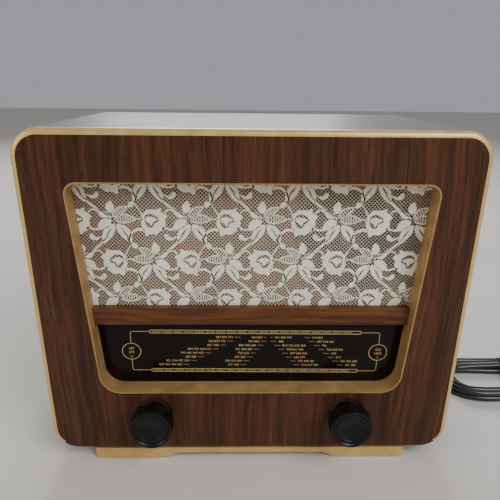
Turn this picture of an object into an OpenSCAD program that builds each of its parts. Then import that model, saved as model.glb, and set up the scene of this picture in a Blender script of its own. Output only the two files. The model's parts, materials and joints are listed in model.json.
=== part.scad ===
// Tabletop valve radio with a bent-plywood cabinet, a recessed lace-covered
// loudspeaker opening over a glass dial, and two knobs below it.
// X runs left to right, Y from front to back, Z up from the table.
// A "depth" is a distance behind the face of the front panel.

/* [Cabinet] */
// Outside width of the cabinet
cab_w = 370; // [350:1:450]
// Outside height of the cabinet without its plinth
cab_h = 296; // [285:1:360]
// Depth from the panel's face to the cabinet's rear edge
cab_d = 190; // [185:1:240]
// Thickness of the bent plywood shell
wall = 8; // [6:0.5:11]
// Outside radius of the four cabinet corners
corner_r = 23; // [18:1:30]
// Radius of the quarter-round edge bead
bead_r = 5; // [3:0.5:6]
// How far the bead runs round each bottom corner, in degrees
bead_tail = 50; // [20:5:80]
// Thickness of the front panel
panel_t = 16; // [13:1:20]
// Height of the plinth under the cabinet
plinth_h = 11; // [8:1:20]
// Length of the plinth along the cabinet
plinth_w = 294; // [240:1:330]
// Length of each deep end of the front plinth
plinth_end_w = 72; // [50:1:100]
// Height of the cut-away in the middle of the plinth
plinth_cut_h = 5.5; // [3:0.5:7]
// Thickness of the plinth strips, front to back
plinth_t = 14; // [10:1:20]
// Thickness of the felt foot pads
pad_h = 1; // [0.5:0.5:2]

/* [Front opening] */
// Width of the opening along its top edge
open_top_w = 296; // [250:1:310]
// Width of the opening along its bottom edge
open_bottom_w = 269; // [240:1:290]
// Height of the opening
open_h = 192.5; // [170:0.5:205]
// Height of the opening's lower edge above the cabinet's underside
open_base = 63; // [58:1:72]
// Radius of the opening's top corners
open_top_r = 10; // [6:1:20]
// Radius of the opening's bottom corners
open_bottom_r = 19; // [12:1:26]
// Wall of the painted opening liner
liner_t = 1.3; // [1:0.1:2]
// How far the liner's lip stands out of the panel
lip_proud = 0.8; // [0.4:0.1:2]
// Height of the cross rail's underside above the opening's lower edge
rail_base = 64.5; // [60:0.5:75]
// Height of the cross rail
rail_h = 16; // [12:1:20]
// Thickness of the cross rail, front to back
rail_t = 6.5; // [5:0.5:10]
// Thickness of the stretched lace cloth
cloth_t = 0.8; // [0.5:0.1:1.5]
// Thickness of the loudspeaker baffle board
baffle_t = 6; // [4:0.5:9]
// How far the cloth and the baffle reach past the opening
board_lap = 9; // [6:1:14]

/* [Dial] */
// Thickness of the dial glass
glass_t = 3; // [2:0.5:4]
// Gap between the dial glass and the plate behind it
dial_gap = 5; // [4:0.5:8]
// Thickness of sheet metal in the dial and chassis
sheet = 1.2; // [0.8:0.1:2]
// Width of the dial glass
glass_w = 300; // [285:1:312]
// Distance of each dial lamp from the centre line
lamp_x = 126; // [110:1:135]
// Outside diameter of a dial lamp's bulb
lamp_d = 11; // [9:0.5:12]

/* [Knobs] */
// Distance of each knob from the centre line
knob_x = 88.5; // [75:0.5:100]
// Height of the knobs above the cabinet's underside
knob_z = 41; // [38:0.5:43]
// Diameter of a knob's face
knob_d = 38; // [30:1:42]
// How far a knob stands out of the panel
knob_reach = 24.6; // [20:0.2:32]
// Diameter of a knob's neck
neck_d = 20; // [20:1:28]
// Diameter of the recess around the neck
recess_d = 32.6; // [30:0.2:36]
// Depth of that recess
recess_t = 6; // [4:0.5:8]
// Diameter of both control shafts
shaft_d = 6; // [4:0.1:8]
// Radial running clearance of a shaft in its bush
run_gap = 0.05; // [0.03:0.01:0.08]
// Diameter of a knob's grub screw
grub_d = 4; // [3:0.5:5]

/* [Loudspeaker] */
// Distance of the loudspeaker right of the centre line
spk_x = 88; // [75:1:92]
// Height of the loudspeaker's axis above the cabinet's underside
spk_z = 207; // [203:1:215]
// Diameter of the loudspeaker's frame
spk_d = 124; // [115:1:126]
// Diameter of the hole in the baffle
spk_hole_d = 105; // [96:1:108]
// Depth of the loudspeaker's basket
basket_h = 30; // [24:1:40]
// Diameter of the magnet
magnet_d = 56; // [44:1:70]
// Length of the magnet
magnet_h = 20; // [16:1:30]
// Diameter of the voice coil's former
coil_d = 26; // [20:1:30]

/* [Chassis] */
// Width of the steel chassis
chassis_w = 300; // [290:1:320]
// Height of the chassis
chassis_h = 61; // [58:1:62]
// Gap between the panel's back and the chassis's front wall
chassis_gap = 24; // [23:1:30]
// Distance from the chassis's front wall to its rear wall
chassis_d = 136; // [125:1:139]
// Diameter of a valve's glass
valve_d = 22; // [18:1:26]
// Height of a valve
valve_h = 66; // [50:1:80]

/* [Dial drive] */
// Radius on which the drive cord lies on the drum
drum_r = 46; // [36:1:46]
// Distance of the drum's axis left of the centre line
drum_x = 20; // [10:1:30]
// Height of the drum's axis above the cabinet's underside
drum_z = 88; // [86:1:90]
// Radius on which the drive cord lies on each idler pulley
idler_r = 8; // [6:1:10]
// Distance of each idler pulley from the centre line
idler_x = 106; // [98:1:110]
// Radius on which the drive cord lies on the tuning spindle
spindle_r = 4; // [3.8:0.1:5]
// Height of the cord's top run above the cabinet's underside
run_z = 138; // [137.5:0.5:139]
// Distance of the drive cord's plane behind the panel's back
cord_back = 14.5; // [14:0.5:17]
// Diameter of the drive cord
drive_cord_d = 0.8; // [0.6:0.1:1]
// Clearance between the drive cord and what it runs on
cord_gap = 0.3; // [0.2:0.05:0.5]

/* [Rear] */
// Thickness of the rear cover board
cover_t = 3; // [2:0.5:5]
// Inset of the cover's outer face from the cabinet's rear edge
cover_inset = 3; // [2:0.5:6]
// Gap between the rear cover and the cabinet's inside
cover_gap = 1; // [0.5:0.25:2]
// Width of the battens that hold the rear cover
batten_w = 10; // [8:1:14]
// Diameter of an aerial socket's bore
socket_d = 4.1; // [4:0.1:4.4]
// Distance between the two socket bores
socket_pitch = 19; // [16:1:22]
// Depth of a socket bore
socket_len = 9; // [7:0.5:10]

/* [Mains lead] */
// Diameter of the mains lead
lead_d = 6.6; // [6:0.2:8]
// Length of the strain relief outside the cover
relief_len = 26; // [22:1:40]
// Height of the lead's exit above the cabinet's underside
lead_z = 30; // [26:1:40]
// Distance of the lead's exit right of the centre line
lead_x = 126; // [110:1:135]

/* [Hidden] */

// The object's box, from the knobs' faces to the cabinet's rear edge, is centred on Y = 0.
y_front = (knob_reach - cab_d) / 2;
base_z = plinth_h + pad_h;
top_z = base_z + cab_h;
in_w = cab_w - 2 * wall;
in_h = cab_h - 2 * wall;
in_r = corner_r - wall;
floor_z = base_z + wall;
open_z = base_z + open_base;
open_top_z = open_z + open_h;
rail_z = open_z + rail_base;
rail_top_z = rail_z + rail_h;
shaft_z = base_z + knob_z;
speaker_z = base_z + spk_z;
hub_z = base_z + drum_z;
cord_z = base_z + run_z;
idler_z = cord_z - idler_r;
cover_back = cab_d - cover_inset;
cover_front = cover_back - cover_t;
cord_plane = panel_t + cord_back;
chassis_front = panel_t + chassis_gap;
chassis_back = chassis_front + chassis_d;
deck_z = floor_z + chassis_h;
shaft_r = shaft_d / 2;
// Boards behind the front panel
cloth_front = panel_t;
baffle_front = panel_t + cloth_t;
baffle_back = baffle_front + baffle_t;
// The cloth and the baffle start just below the cross rail's top edge.
cloth_z = rail_top_z - 1.5;
cloth_top_z = open_top_z + board_lap;
glass_z = open_z - board_lap;
glass_top_z = cord_z - 4;
plate_depth = panel_t + glass_t + dial_gap;
plate_z = open_z - 1;
plate_top_z = cord_z - 5;
plate_w = glass_w + 12;
// Pointer: the needle hangs in the gap, its slider rides on the guide rod
needle_depth = panel_t + glass_t + 2;
rod_depth = cord_plane - 4.5;
rod_r = 1.2;
rod_half = 101;
frame_depth = cord_plane + 5;
frame_half = idler_x + 12;
// Loudspeaker stack
gasket_t = 2;
flange_t = 1.5;
flange_w = 7;
spk_r = spk_d / 2;
hole_r = spk_hole_d / 2;
gasket_back = baffle_back + gasket_t;
flange_back = gasket_back + flange_t;
basket_back = flange_back + basket_h;
hub_r = coil_d / 2 + 5;
screw_pcr = spk_r - flange_w / 2;
// Parts on the chassis deck: X, and depth counted from the chassis's front wall
valves = [for (p = [[30, 102], [72, 102], [114, 102], [132, 56]]) [p[0], chassis_front + p[1]]];
cans = [for (x = [50, 92]) [x, chassis_front + 66]];
cans_w = 24;
can_h = 50;
filter_at = [-36, chassis_front + 108];
filter_r = 17;
filter_h = 68;
core_w = 70;
core_t = 30;
core_h = 58;
core_at = [-112, chassis_front + 64];
gang_w = 56;
gang_front = chassis_front + 20;
gang_d = 48;
gang_t = 2;
clearance = 0.4;
// Rear openings
selector_x = 0;
selector_z = floor_z + 30;
selector_r = 16;
sockets_x = 66;
sockets_z = floor_z + 30;
sockets_w = socket_pitch + 25;
sockets_h = 16;
vent_r = 3;
vent_pitch = 12;
// Mains lead: route of the free stretch, then the hank that takes up the rest
relief_r = 6.2;
relief_y = y_front + cover_back;
lead_start = [lead_x, relief_y + relief_len, base_z + lead_z];
lead_route = [[126, 142, 41], [127, 154, 37], [131, 166, 28], [138, 176, 17], [148, 183, 8],
              [162, 186, 3.6], [178, 184, 3.6], [194, 176, 3.6], [208, 163, 3.6], [219, 146, 3.6],
              [228, 127, 3.6], [235, 109, 3.6], [244, 93, 3.6], [256, 80, 3.6], [271, 71.5, 3.6],
              [288, 68.7, 3.6]];
hank_x = 295;
hank_y = 35.5;
hank_len = 132;
hank_w = 73;
hank_z0 = 0.5;
hank_h = 13.2;
tie_x = 320;
tie_w = 6;
tie_t = 1;
tie_inset = 2.6;
sleeve_x = 334;
sleeve_len = 24;
plug_y = 68.7;
plug_len = 36;
plug_w = 36;
plug_h = 19;
plug_z = plug_h / 2;
pin_r = 2;
pin_len = 19;
pin_pitch = 19;
$fn = 64;

// ---- Helpers ----

// World Y of a depth behind the panel's face.
function at_depth(d) = y_front + d;

function unit(v) = v / norm(v);

// Corners of the opening, inset all round by t, from bottom left anticlockwise.
open_slope = (open_top_w - open_bottom_w) / 2 / open_h;
open_lean = sqrt(1 + open_slope * open_slope);
function open_half(z, t) = open_bottom_w / 2 + open_slope * (z - open_z) - t * open_lean;
function open_corners(t) =
    let (z0 = open_z + t, z1 = open_top_z - t)
    [[-open_half(z0, t), z0], [open_half(z0, t), z0], [open_half(z1, t), z1], [-open_half(z1, t), z1]];
function open_radii(t) = [open_bottom_r - t, open_bottom_r - t, open_top_r - t, open_top_r - t];

// Polygon with round corners: the straight sides between tangent points, and a disc in each corner.
module rounded_poly(pts, radii) {
    n = len(pts);
    ends = [for (i = [0:n - 1])
        let (a = unit(pts[(i + n - 1) % n] - pts[i]), b = unit(pts[(i + 1) % n] - pts[i]),
             half = acos(a * b) / 2, reach = radii[i] / tan(half))
        [pts[i] + a * reach, pts[i] + b * reach, pts[i] + unit(a + b) * radii[i] / sin(half)]];
    polygon([for (e = ends) for (k = [0:1]) e[k]]);
    for (i = [0:n - 1]) translate(ends[i][2]) circle(r = radii[i], $fn = 96);
}

// Rounded rectangle of width w that stands on height z0.
module rounded_rect(w, z0, h, r) {
    rounded_poly([[-w / 2, z0], [w / 2, z0], [w / 2, z0 + h], [-w / 2, z0 + h]], [r, r, r, r]);
}

// Plate from depth d0 to depth d1 with a front outline given in X and Z.
module slab(d0, d1) {
    translate([0, at_depth(d1), 0]) rotate([90, 0, 0]) linear_extrude(d1 - d0) children();
}

// Box given by X, depth and Z ranges.
module block(x0, x1, d0, d1, z0, z1) {
    translate([x0, at_depth(d0), z0]) cube([x1 - x0, d1 - d0, z1 - z0]);
}

// Puts a shape made along +Z on a front-to-back axis that starts at depth d.
module axis_y(x, z, d) {
    translate([x, at_depth(d), z]) rotate([-90, 0, 0]) children();
}

// Round rod along the depth.
module rod_y(x, z, d0, d1, r) {
    axis_y(x, z, d0) cylinder(r = r, h = d1 - d0);
}

// Quarter of a disc in the quadrant given by the two signs.
module quarter(r, sx, sy) {
    intersection() {
        circle(r = r);
        translate([sx > 0 ? 0 : -r, sy > 0 ? 0 : -r]) square(r);
    }
}

// Quarter-round strip round one cabinet corner, from the side towards the top or underside by angle a.
module bead_corner(sx, sz, a) {
    cz = sz > 0 ? top_z - corner_r : base_z + corner_r;
    translate([sx * (cab_w / 2 - corner_r), at_depth(bead_r), cz])
        mirror([sx < 0 ? 1 : 0, 0, 0]) mirror([0, 0, sz < 0 ? 1 : 0]) bead_arc(a);
}

// Quarter-round strip from the underside round a bottom corner towards the side by angle a.
module low_corner(sx, a) {
    translate([sx * (cab_w / 2 - corner_r), at_depth(bead_r), base_z + corner_r])
        mirror([sx < 0 ? 1 : 0, 0, 0]) rotate([0, 90, 0]) bead_arc(a);
}

// Quarter-round strip swept from +X towards +Z about a corner's centre.
module bead_arc(a) {
    rotate([90, 0, 0]) rotate_extrude(angle = a, $fn = 96)
        translate([corner_r - bead_r, 0]) quarter(bead_r, 1, 1);
}

// Straight horizontal quarter-round strip along the cabinet's top or underside.
module bead_level(sz) {
    z = sz > 0 ? top_z - bead_r : base_z + bead_r;
    length = cab_w - 2 * corner_r;
    translate([-length / 2, at_depth(bead_r), z]) rotate([0, 90, 0]) linear_extrude(length)
        quarter(bead_r, -sz, -1);
}

// Straight upright quarter-round strip along one side.
module bead_side(sx) {
    translate([sx * (cab_w / 2 - bead_r), at_depth(bead_r), base_z + corner_r])
        linear_extrude(cab_h - 2 * corner_r) quarter(bead_r, sx, -1);
}

// ---- Cabinet ----

module cabinet_shell() {
    color("saddlebrown") difference() {
        slab(bead_r, cab_d) difference() {
            rounded_rect(cab_w, base_z, cab_h, corner_r);
            rounded_rect(in_w, floor_z, in_h, in_r);
        }
        for (p = bolt_points)
            translate([p[0], at_depth(p[1]), base_z - 1]) cylinder(r = bolt_r, h = wall + 2);
    }
}

module front_panel() {
    color([0.3, 0.14, 0.09]) {
        difference() {
            union() {
                slab(0, bead_r) rounded_rect(cab_w - 2 * bead_r, base_z + bead_r, cab_h - 2 * bead_r,
                                             corner_r - bead_r);
                slab(bead_r, panel_t) rounded_rect(in_w, floor_z, in_h, in_r);
                bead_level(-1);
                for (s = [-1, 1]) low_corner(s, 90 - bead_tail);
            }
            slab(-1, panel_t + 1) rounded_poly(open_corners(0), open_radii(0));
            for (s = [-1, 1]) {
                rod_y(s * knob_x, shaft_z, -1, recess_t, recess_d / 2);
                rod_y(s * knob_x, shaft_z, -1, panel_t + 1, shaft_r + 3);
            }
        }
    }
}

module edge_bead() {
    color("goldenrod") {
        bead_level(1);
        for (s = [-1, 1]) {
            bead_side(s);
            bead_corner(s, 1, 90);
            bead_corner(s, -1, bead_tail);
        }
    }
}

module opening_liner() {
    color([0.72, 0.58, 0.36]) slab(-lip_proud, panel_t) difference() {
        rounded_poly(open_corners(0), open_radii(0));
        rounded_poly(open_corners(liner_t), open_radii(liner_t));
    }
}

module cross_rail() {
    color([0.36, 0.17, 0.1]) slab(panel_t - rail_t, panel_t)
        polygon([[-open_half(rail_z, liner_t), rail_z], [open_half(rail_z, liner_t), rail_z],
                 [open_half(rail_top_z, liner_t), rail_top_z],
                 [-open_half(rail_top_z, liner_t), rail_top_z]]);
}

module plinth_front() {
    half = plinth_w / 2;
    inner = half - plinth_end_w;
    ease = 4;
    steps = 8;
    // The underside sweeps up from each end block to the shallow middle in an S-curve.
    sweep = [for (k = [0:steps]) let(t = k / steps)
        [inner + 8.5 - 17 * t, pad_h + plinth_cut_h * (1 - cos(180 * t)) / 2]];
    color("goldenrod") block_front(1) difference() {
        translate([-half, pad_h]) square([plinth_w, plinth_h]);
        polygon(concat([[inner + 8.5, 0]], sweep, [for (k = [steps:-1:0]) [-sweep[k][0], sweep[k][1]]],
                       [[-inner - 8.5, 0]]));
        for (s = [-1, 1]) translate([s * half, pad_h]) difference() {
            translate([s > 0 ? -ease : 0, 0]) square(ease);
            translate([-s * ease, ease]) circle(r = ease);
        }
    }
}

// Puts a plinth strip's outline at depth d.
module block_front(d) {
    slab(d, d + plinth_t) children();
}

module plinth_rear() {
    half = plinth_w / 2;
    color("saddlebrown") block_front(cab_d - plinth_t - 8) difference() {
        translate([-half, pad_h]) square([plinth_w, plinth_h]);
        translate([plinth_end_w - half, 0]) square([plinth_w - 2 * plinth_end_w, pad_h + plinth_cut_h]);
    }
}

module foot_pads() {
    pad_l = 24;
    far = plinth_w / 2 - 8;
    color("darkolivegreen") for (s = [-1, 1]) for (d = [2, cab_d - plinth_t - 7])
        block(s > 0 ? far - pad_l : -far, s > 0 ? far : pad_l - far, d, d + plinth_t - 2, 0, pad_h);
}

// ---- Behind the opening ----

cloth_half = open_half(open_top_z, 0) + board_lap;

module speaker_cloth() {
    color([0.85, 0.82, 0.74]) block(-cloth_half, cloth_half, cloth_front, baffle_front,
                                    cloth_z, cloth_top_z);
}

module speaker_baffle() {
    color([0.42, 0.3, 0.2]) difference() {
        block(-cloth_half, cloth_half, baffle_front, baffle_back, cloth_z, cloth_top_z);
        rod_y(spk_x, speaker_z, 0, baffle_back + 1, hole_r);
        speaker_screw_shanks();
    }
}

module dial_glass() {
    color([0.05, 0.05, 0.05]) block(-glass_w / 2, glass_w / 2, panel_t, panel_t + glass_t,
                                    glass_z, glass_top_z);
}

// Two sprung clips that press the glass's lower edge to the panel.
module glass_clips() {
    tongue = 5;
    leg = 8;
    clip_w = 10;
    back = panel_t + glass_t;
    color("silver") {
        for (s = [-1, 1]) {
            x = s * 60 - clip_w / 2;
            block(x, x + clip_w, back, back + sheet, glass_z - sheet, glass_z + tongue);
            block(x, x + clip_w, panel_t, back, glass_z - sheet, glass_z);
            block(x, x + clip_w, panel_t, panel_t + sheet, glass_z - leg, glass_z - sheet);
        }
    }
}

// Tray behind the glass: a back plate with a flange at each end that meets the panel.
module dial_backplate() {
    color("white") {
        difference() {
            block(-plate_w / 2, plate_w / 2, plate_depth, plate_depth + sheet, plate_z, plate_top_z);
            for (s = [-1, 1]) rod_y(s * lamp_x, lamp_z, plate_depth - 1, plate_depth + sheet + 1,
                                    lamp_d / 2 + 1);
        }
        for (s = [-1, 1])
            block(s > 0 ? plate_w / 2 - sheet : -plate_w / 2, s > 0 ? plate_w / 2 : sheet - plate_w / 2,
                  panel_t, plate_depth, plate_z, plate_top_z);
    }
}

// Lamps shine through the back plate from behind.
lamp_z = plate_top_z - 24;
lamp_front = plate_depth - 1;
lamp_len = 15;
holder_len = 13;

module dial_lamps() {
    color("lightyellow") for (s = [-1, 1]) axis_y(s * lamp_x, lamp_z, lamp_front)
        rotate_extrude() intersection() {
            union() {
                translate([0, lamp_d / 2]) circle(d = lamp_d);
                translate([0, lamp_d / 2]) square([lamp_d / 2, lamp_len - lamp_d / 2]);
            }
            square([lamp_d, lamp_len]);
        }
}

module lamp_holders() {
    color("tan") for (s = [-1, 1]) {
        rod_y(s * lamp_x, lamp_z, lamp_front + lamp_len, lamp_front + lamp_len + holder_len, lamp_d / 2 + 1);
        block(s * lamp_x - 4, s * lamp_x + 4, lamp_front + lamp_len, lamp_front + lamp_len + sheet,
              lamp_z, plate_top_z - 2);
        block(s * lamp_x - 4, s * lamp_x + 4, plate_depth + sheet, lamp_front + lamp_len,
              plate_top_z - 2 - sheet, plate_top_z - 2);
    }
}

// ---- Dial drive ----

// Sheet-steel frame that stands on the chassis deck and carries the idlers and the guide rod.
module drive_frame() {
    beam_z = idler_z - 12;
    foot_d = 12;
    ear_z = cord_z + 2.5;
    color("lightgray") difference() {
        union() {
            block(-frame_half, frame_half, frame_depth, frame_depth + sheet, beam_z, ear_z + 1);
            for (s = [-1, 1]) {
                x = s > 0 ? frame_half - 8 : -frame_half;
                block(x, x + 8, frame_depth, frame_depth + sheet, deck_z, beam_z);
                block(x, x + 8, frame_depth, chassis_front + foot_d, deck_z, deck_z + sheet);
                rod_y(s * idler_x, idler_z, cord_plane - 4, frame_depth, idler_pin_r);
            }
            for (s = [-1, 1]) {
                x = s > 0 ? rod_half - 1.5 : -rod_half;
                block(x, x + 1.5, rod_depth - 2, frame_depth, ear_z - 1, ear_z + 1);
                block(x, x + 1.5, rod_depth - 2, rod_depth + 2, cord_z - 1.8, ear_z);
            }
        }
        for (s = [-1, 1]) translate([s > 0 ? rod_half - 3 : -rod_half - 3, at_depth(rod_depth), cord_z])
            rotate([0, 90, 0]) cylinder(r = rod_r, h = 6);
    }
}

idler_pin_r = 1.5;

module guide_rod() {
    color("silver") translate([-rod_half, at_depth(rod_depth), cord_z]) rotate([0, 90, 0])
        cylinder(r = rod_r, h = 2 * rod_half);
}

// Grooved pulley centred on the cord's plane; the cord lies on radius r.
module pulley(x, z, r, width, lip, bore) {
    rim = r + lip;
    seat = r - drive_cord_d / 2 - cord_gap;
    half = drive_cord_d / 2 + cord_gap;
    axis_y(x, z, cord_plane - width / 2) rotate_extrude($fn = 96)
        polygon([[bore, 0], [rim, 0], [rim, width / 2 - half - 0.4], [seat, width / 2 - half],
                 [seat, width / 2 + half], [rim, width / 2 + half + 0.4], [rim, width], [bore, width]]);
}

module idler_left() {
    color("ivory") pulley(-idler_x, idler_z, idler_r, 4, 1.2, idler_pin_r + run_gap);
}

module idler_right() {
    color("ivory") pulley(idler_x, idler_z, idler_r, 4, 1.2, idler_pin_r + run_gap);
}

rotor_shaft_r = 3;

module drive_drum() {
    web_r = drum_r - 8;
    color("darkgoldenrod") difference() {
        pulley(-drum_x, hub_z, drum_r, 5, 1.2, rotor_shaft_r);
        for (a = [45:90:315])
            translate([web_r * 0.6 * cos(a) - drum_x, 0, hub_z + web_r * 0.6 * sin(a)])
                rod_y(0, 0, cord_plane - 4, cord_plane + 4, 9);
    }
}

// Normal of the belt run from pulley a to pulley b, each given as [x, z, r], both on the run's left.
function run_normal(a, b) =
    let (d = [b[0] - a[0], b[1] - a[1]], l = norm(d), u = d / l, right = [u[1], -u[0]],
         c = (a[2] - b[2]) / l)
    u * c + right * sqrt(1 - c * c);

belt = [[knob_x, shaft_z, spindle_r], [idler_x, idler_z, idler_r], [-idler_x, idler_z, idler_r],
        [-drum_x, hub_z, drum_r]];
belt_turn = [for (i = [0:3]) run_normal(belt[i], belt[(i + 1) % 4])];

// Points of the belt line round pulley i, moved outward by the given amount.
function belt_arc(i, grow) =
    let (a0 = atan2(belt_turn[(i + 3) % 4][1], belt_turn[(i + 3) % 4][0]),
         sweep = (atan2(belt_turn[i][1], belt_turn[i][0]) - a0 + 720) % 360,
         steps = max(3, ceil(sweep / 8)))
    [for (k = [0:steps]) let (a = a0 + sweep * k / steps)
        [belt[i][0], belt[i][1]] + (belt[i][2] + grow) * [cos(a), sin(a)]];

// One endless cord round the spindle, both idlers and the drum.
module drive_cord() {
    half = drive_cord_d / 2;
    color("khaki") slab(cord_plane - half, cord_plane + half) difference() {
        polygon([for (i = [0:3]) each belt_arc(i, half)]);
        polygon([for (i = [0:3]) each belt_arc(i, -half)]);
    }
}

// Slider on the guide rod, open above the cord, with the needle hanging in the dial gap.
module dial_pointer() {
    slider = 5;
    slot = drive_cord_d / 2 + cord_gap;
    top = cord_z + 1.3;
    bottom = cord_z - 1.7;
    color("orangered") {
        difference() {
            block(-slider, slider, rod_depth - 2.2, cord_plane + 1.6, bottom, cord_z + 1.9);
            translate([-slider - 1, at_depth(rod_depth), cord_z]) rotate([0, 90, 0])
                cylinder(r = rod_r + run_gap, h = 2 * slider + 2);
            block(-slider - 1, slider + 1, cord_plane - slot, cord_plane + slot, cord_z - slot, top + 2);
        }
        block(-slider / 2, slider / 2, needle_depth, rod_depth - 2.2, cord_z - 1, cord_z + 1);
        block(-0.5, 0.5, needle_depth, needle_depth + 0.8, open_z + 6, cord_z);
    }
}

module tuning_gang_frame() {
    x0 = -drum_x - gang_w / 2;
    x1 = -drum_x + gang_w / 2;
    top = hub_z + 22;
    bore = rotor_shaft_r + run_gap;
    color("silver") {
        difference() {
            union() {
                for (d = [gang_front, gang_front + gang_d - gang_t])
                    block(x0, x1, d, d + gang_t, deck_z, top);
                block(x0, x1, gang_front + gang_t, gang_front + gang_d - gang_t, deck_z, deck_z + gang_t);
                block(x0, x0 + gang_t, gang_front + gang_t, gang_front + gang_d - gang_t,
                      deck_z + gang_t, top);
            }
            rod_y(-drum_x, hub_z, gang_front - 1, gang_front + gang_d + 1, bore);
        }
        // Fixed plates, held by the left side wall
        for (k = [0:5]) block(x0 + gang_t, -drum_x - rotor_shaft_r - 4,
                              gang_front + 7 + k * 6.6, gang_front + 8 + k * 6.6, deck_z + gang_t, top - 2);
    }
}

// Rotor: a shaft with half-round plates that pass between the fixed ones.
module tuning_rotor() {
    color("lightgray") {
        rod_y(-drum_x, hub_z, cord_plane - 4, gang_front + gang_d + 4, rotor_shaft_r);
        for (k = [0:4]) intersection() {
            rod_y(-drum_x, hub_z, gang_front + 10.3 + k * 6.6, gang_front + 11.3 + k * 6.6, 16);
            block(-drum_x - 20, -drum_x + 20, gang_front, gang_front + gang_d, hub_z, hub_z + 20);
        }
    }
}

// ---- Controls ----

module tuning_shaft() {
    color("silver") {
        rod_y(knob_x, shaft_z, shaft_tip, bush_back + 3, shaft_r);
    }
}

shaft_tip = 6 - knob_reach;
bush_back = chassis_front + 8;
bush_front = cord_plane + 4;
bush_r = 5;

module tuning_bush() {
    color("gold") difference() {
        union() {
            rod_y(knob_x, shaft_z, bush_front, bush_back, bush_r);
            rod_y(knob_x, shaft_z, chassis_front - 2.5, chassis_front, bush_r + 3);
        }
        rod_y(knob_x, shaft_z, bush_front - 1, bush_back + 1, shaft_r + run_gap);
    }
}

module volume_pot() {
    color("darkgray") difference() {
        union() {
            rod_y(-knob_x, shaft_z, bush_front, chassis_front + sheet, bush_r);
            rod_y(-knob_x, shaft_z, chassis_front - 2.5, chassis_front, bush_r + 3);
            rod_y(-knob_x, shaft_z, chassis_front + sheet, chassis_front + 18, 14);
        }
        rod_y(-knob_x, shaft_z, bush_front - 1, chassis_front + 13, shaft_r + run_gap);
    }
}

module volume_shaft() {
    color("silver") rod_y(-knob_x, shaft_z, shaft_tip, chassis_front + 12, shaft_r);
}

// Black moulded knob: a neck in the recess, a waist, a broad rim and a dished face with one ring on it.
module knob(x) {
    r = knob_d / 2;
    neck = neck_d / 2;
    back = recess_t - 2.5;
    face = -knob_reach;
    ring = r * 0.7;
    bowl = 4.4;
    // A shallow bowl inside a raised ring, a dished band, and a rounded rim
    dish = [for (k = [0:6]) let(t = k / 6) [(ring - 1.6) * t, face + bowl - (bowl - 1.8) * t * t]];
    color([0.05, 0.05, 0.05]) difference() {
        axis_y(x, shaft_z, 0) rotate_extrude($fn = 96) polygon(concat(dish, [
            [ring - 0.7, face + 1.1], [ring, face + 0.9], [ring + 0.8, face + 1.4],
            [ring + 2, face + 1.6], [r - 3, face + 0.9],
            [r - 2.2, face + 0.2], [r - 1.3, face], [r - 0.4, face + 0.5], [r, face + 1.6],
            [r, face + 12.5], [r - 0.6, face + 14], [r - 2, face + 15.3], [neck + 1, face + 17.5],
            [neck, face + 18.5], [neck, back], [0, back]]));
        rod_y(x, shaft_z, shaft_tip, back + 1, shaft_r);
        translate([x, at_depth(grub_depth), shaft_z - r - 1]) cylinder(r = grub_d / 2, h = r);
    }
}

grub_depth = 9.5 - knob_reach;

// Grub screw in the underside of a knob's rim, tight on the shaft.
module knob_screw(x) {
    color("silver") difference() {
        translate([x, at_depth(grub_depth), shaft_z - shaft_r - 10]) cylinder(r = grub_d / 2, h = 10);
        translate([x - grub_d, at_depth(grub_depth) - 0.4, shaft_z - shaft_r - 11])
            cube([2 * grub_d, 0.8, 2]);
        rod_y(x, shaft_z, shaft_tip, 0, shaft_r);
    }
}

module tuning_knob() { knob(knob_x); }
module volume_knob() { knob(-knob_x); }
module tuning_knob_screw() { knob_screw(knob_x); }
module volume_knob_screw() { knob_screw(-knob_x); }

module knob_washers() {
    color("brown") for (s = [-1, 1]) difference() {
        rod_y(s * knob_x, shaft_z, recess_t - 2, recess_t, recess_d / 2 - 1.3);
        rod_y(s * knob_x, shaft_z, 0, recess_t + 1, shaft_r + 3);
    }
}

// ---- Loudspeaker ----

module speaker_screw_shanks() {
    for (a = [45:90:315]) rod_y(spk_x + screw_pcr * cos(a), speaker_z + screw_pcr * sin(a),
                                baffle_front + 2, flange_back, 1.5);
}

module speaker_screws() {
    color("silver") {
        speaker_screw_shanks();
        for (a = [45:90:315]) rod_y(spk_x + screw_pcr * cos(a), speaker_z + screw_pcr * sin(a),
                                    flange_back, flange_back + 2, 3);
    }
}

module speaker_gasket() {
    color("dimgray") difference() {
        rod_y(spk_x, speaker_z, baffle_back, gasket_back, spk_r);
        rod_y(spk_x, speaker_z, baffle_back - 1, gasket_back + 1, cone_r + clearance);
        speaker_screw_shanks();
    }
}

cone_r = spk_d / 2 - 9.5;

// Pressed basket: flange, sloping wall with four windows, and a rear ring on the magnet.
module speaker_frame() {
    r0 = spk_r - flange_w;
    color("slategray") difference() {
        union() {
            difference() {
                rod_y(spk_x, speaker_z, gasket_back, flange_back, spk_r);
                rod_y(spk_x, speaker_z, gasket_back - 1, flange_back + 1, cone_r + clearance);
            }
            axis_y(spk_x, speaker_z, flange_back) rotate_extrude($fn = 96)
                polygon([[r0 - 1.5, 0], [r0, 0], [hub_r + 5, basket_h - 1.5], [hub_r + 5, basket_h],
                         [coil_d / 2 + 2, basket_h], [coil_d / 2 + 2, basket_h - 1.5],
                         [hub_r + 3.4, basket_h - 1.5]]);
        }
        for (a = [0:90:270]) translate([spk_x, at_depth(flange_back), speaker_z])
            rotate([0, a, 0]) translate([hub_r + 8, 5, -15]) cube([r0 - hub_r - 12, basket_h - 10, 30]);
        speaker_screw_shanks();
    }
}

// Paper cone; its rim stands free inside the gasket.
cone_front = baffle_back + 2.2;
cone_h = 22;
cone_t = 0.7;
cone_edge = 2;
cone_seat = cone_h - 0.6;

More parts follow.
